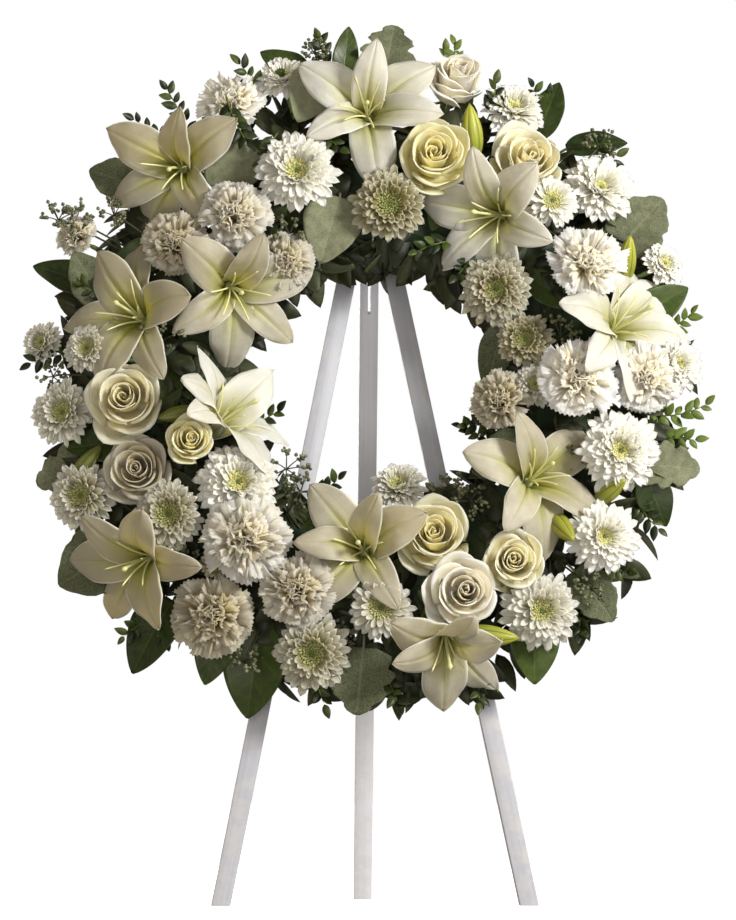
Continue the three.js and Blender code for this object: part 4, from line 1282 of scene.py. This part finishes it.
def sprig_piece(name, points, seed, replaced=(), lit_side=False):
    draw = np.random.default_rng(seed)
    twig, leaves = sprig(points, draw)
    # Painted light: the leaves of a lit-side sprig are pushed towards the lighter green.
    owns = [draw.uniform(0, 0.6) + 0.9 * lit_side for _ in leaves]
    twig_part = sewn(name + "_twig", ROD, [in_frame(twig)], own=0.9)
    leaf_part = sewn(name + "_leaves", SMALL_LEAF, [in_frame(shape) for shape in leaves], own=owns)
    settle(joined(name, [leaf_part, twig_part]), huckleberry, replaced)


huckleberry = leaf_green("huckleberry_leaf", HUCKLE_DARK, HUCKLE_LIGHT, 0.3, 0.35)
for side, (clock, reach, height) in NAMED_SPRIGS.items():
    name = f"huckleberry_sprig_{side}"
    points = [clock_point(clock, SPRIG_FOOT, height - 6),
              clock_point(clock + 5, (SPRIG_FOOT + reach) / 2, height + 2),
              clock_point(clock, reach - 6, height)]
    sprig_piece(name + "_leafy", points, NAMED_SEED + clock, [name], side in LIT_SIDES)
for number, (clock, reach, height, length, heading) in enumerate(SPRIGS, 1):
    tip = clock_point(clock, reach, height)
    axes = heading_axes(heading, 12)
    points = [tip - axes[1] * length - axes[2] * 8, tip - axes[1] * length * 0.5 + axes[0] * 5, tip]
    name = f"huckleberry_twig_{number:02}"
    sprig_piece(name, points, SPRIG_SEED + number, lit_side=clock in LIT_SIDE_CLOCKS)

# ---------------------------------------------------------------- seeded eucalyptus
# Branched clusters of small round seed cases, grey-green with a pale bloom, on thin twigs. Each
# cluster is one branch, pushed into the foam so that its seeds show between the flowers.

# Each as clock, reach, height and spread of the cluster.
SEEDED = [
    (280, 212, 98, 22), (331, 168, 92, 18), (226, 118, 76, 20), (214, 128, 82, 18), (145, 128, 80, 20),
    (142, 148, 90, 20), (76, 186, 92, 18), (225, 252, 88, 16), (205, 298, 66, 16), (134, 288, 74, 16),
    (301, 336, 44, 20), (273, 310, 50, 16), (42, 332, 50, 18), (351, 350, 44, 16), (305, 306, 58, 18),
    (300, 352, 40, 16), (112, 206, 80, 16), (188, 250, 74, 14),
]
SEED_GREEN = (0.045, 0.055, 0.022, 1)
SEED_PALE = (0.21, 0.21, 0.115, 1)
CLUSTER_SEED = 700
BRANCHES = 7
BRANCH_CASES = 9


def seed_skin():
    finish = Finish("eucalyptus_seeds", Specular_IOR_Level=0.5)
    own = finish.stored("own")
    bloom = finish.noise(finish.here(), 420, 3)
    colour = finish.mix((own * 0.5 + bloom * 0.6).within(0.2, 0.9), SEED_GREEN, SEED_PALE)
    return finish.coat(colour, 0.35 + 0.3 * bloom, bloom, 0.25, 0.0004)


SEED, seed_turn, seed_v = ball_pattern(6, 5)


def seed_case(place, way, size):
    """One seed case: a small urn with a blunt point, at the end of its own short stalk."""
    aside = unit(np.cross(way, [0.3, 0.5, 0.8]))
    other = np.cross(way, aside)
    thick = size * np.sin(math.pi * seed_v ** 0.9) ** 0.75
    return around(place + way * (seed_v * size * 2.3)[:, None], aside, other, seed_turn, thick)


seeds = seed_skin()
for number, (clock, reach, height, spread) in enumerate(SEEDED, 1):
    draw = np.random.default_rng(CLUSTER_SEED + number)
    middle = clock_point(clock, reach, height)
    root = clock_point(clock, MIDDLE_RADIUS + (reach - MIDDLE_RADIUS) * 0.5, FOAM_TOP - 10)
    twigs = [rod([root, (root + middle) / 2 + [0, 0, 6], middle], 1.2, 0.7)]
    cases = []
    for branch in range(BRANCHES):
        turn = branch * GOLDEN_TURN + draw.uniform(-0.4, 0.4)
        flat = spread * draw.uniform(0.55, 1.0)
        end = middle + [math.cos(turn) * flat, math.sin(turn) * flat, draw.uniform(-6, 8)]
        twigs.append(rod([middle - [0, 0, 8], (middle + end) / 2 + [0, 0, 3], end], 0.7, 0.6))
        for _ in range(BRANCH_CASES):
            start = middle + (end - middle) * draw.uniform(0.35, 1.0)
            way = unit(end - middle + draw.normal(0, 7, 3) + [0, 0, 7])
            cases.append(seed_case(start + way * draw.uniform(1.5, 4.5), way, draw.uniform(1.4, 2.1)))
    owns = [draw.uniform() for _ in cases]
    twig_part = sewn("twigs", ROD, [in_frame(twig) for twig in twigs], own=-0.4)
    case_part = sewn("cases", SEED, [in_frame(case) for case in cases], own=owns)
    settle(joined(f"eucalyptus_seeds_{number:02}", [case_part, twig_part]), seeds)

drop_patterns()

# ---------------------------------------------------------------- floor, light and camera
# A pale floor in a white room, a broad soft lamp high on the right, a weaker one low on the left
# and one behind. The camera stands far off and low, a little to the left.

FLOOR = (0.82, 0.82, 0.82, 1)
WHITE = (1, 1, 1, 1)
ROOM_LIGHT = (1.0, 0.91, 0.77, 1)
ROOM_STRENGTH = 0.34
WREATH_CENTRE = (0, -0.1, 0.5)
# Each as place, size, watts and colour.
LAMPS = {
    "key": ((2.1, -2.0, 1.6), 0.8, 117, (1.0, 0.98, 0.93)),
    "fill": ((-0.5, -3.2, 0.15), 1.4, 26, (1.0, 0.96, 0.92)),
    "back": ((-0.9, 3.0, 1.1), 1.6, 42, (1.0, 0.97, 0.93)),
}
AIM_X = -0.0067
AIM_HEIGHT = 0.4272
FOOT_INSET = 0.0062
CAMERA_DISTANCE = 7.0
CAMERA_HEIGHT = 0.12
CAMERA_AZIMUTH = math.radians(1.9)
VIEW_WIDTH = 0.7066
SENSOR = 36.0

bpy.ops.mesh.primitive_plane_add(size=60, location=(0, 0, 0))
floor = bpy.context.object
floor.name = "floor"
pale = Finish("pale_floor", Roughness=0.9, Base_Color=FLOOR,
              Emission_Color=WHITE, Emission_Strength=1.0)
floor.visible_diffuse = False
floor.visible_glossy = False
floor.visible_shadow = False
floor.data.materials.append(pale.material)

world = bpy.data.worlds.new("room")
bpy.context.scene.world = world
world.use_nodes = True
room = world.node_tree
seen = room.nodes.new("ShaderNodeLightPath")
blend = room.nodes.new("ShaderNodeMixShader")
shed = room.nodes["Background"]
white = room.nodes.new("ShaderNodeBackground")
room.links.new(seen.outputs["Is Camera Ray"], blend.inputs["Fac"])
for index, (shell, colour, strength) in enumerate(
        ((shed, ROOM_LIGHT, ROOM_STRENGTH), (white, WHITE, 1.0)), 1):
    shell.inputs["Color"].default_value = colour
    shell.inputs["Strength"].default_value = strength
    room.links.new(shell.outputs["Background"], blend.inputs[index])
room.links.new(blend.outputs["Shader"], room.nodes["World Output"].inputs["Surface"])


def aimed(name, data, place, aim):
    """Puts a lamp or the camera in its place, turned towards its aim."""
    holder = bpy.data.objects.new(name, data)
    bpy.context.scene.collection.objects.link(holder)
    away = np.array(place) - np.array(aim)
    tilt = math.acos(away[2] / np.linalg.norm(away))
    holder.location = place
    holder.rotation_euler = (tilt, 0, math.atan2(away[1], away[0]) + math.pi / 2)
    return holder


for name, (place, size, watts, colour) in LAMPS.items():
    light = bpy.data.lights.new(name, "AREA")
    light.shape = "SQUARE"
    light.size = size
    light.energy = watts
    light.color = colour
    aimed(name, light, place, WREATH_CENTRE)

aim = np.array([AIM_X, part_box("front_leg_left")[0].y + FOOT_INSET, AIM_HEIGHT])
eye = aim - outwards(math.pi / 2 - CAMERA_AZIMUTH) * CAMERA_DISTANCE
eye[2] = CAMERA_HEIGHT
lens = bpy.data.cameras.new("camera")
lens.sensor_fit = "HORIZONTAL"
lens.sensor_width = SENSOR
lens.lens = SENSOR * np.linalg.norm(aim - eye) / VIEW_WIDTH
lens.clip_end = 100
camera = aimed("camera", lens, eye, aim)
bpy.context.scene.camera = camera
bpy.context.scene.view_settings.view_transform = "Standard"
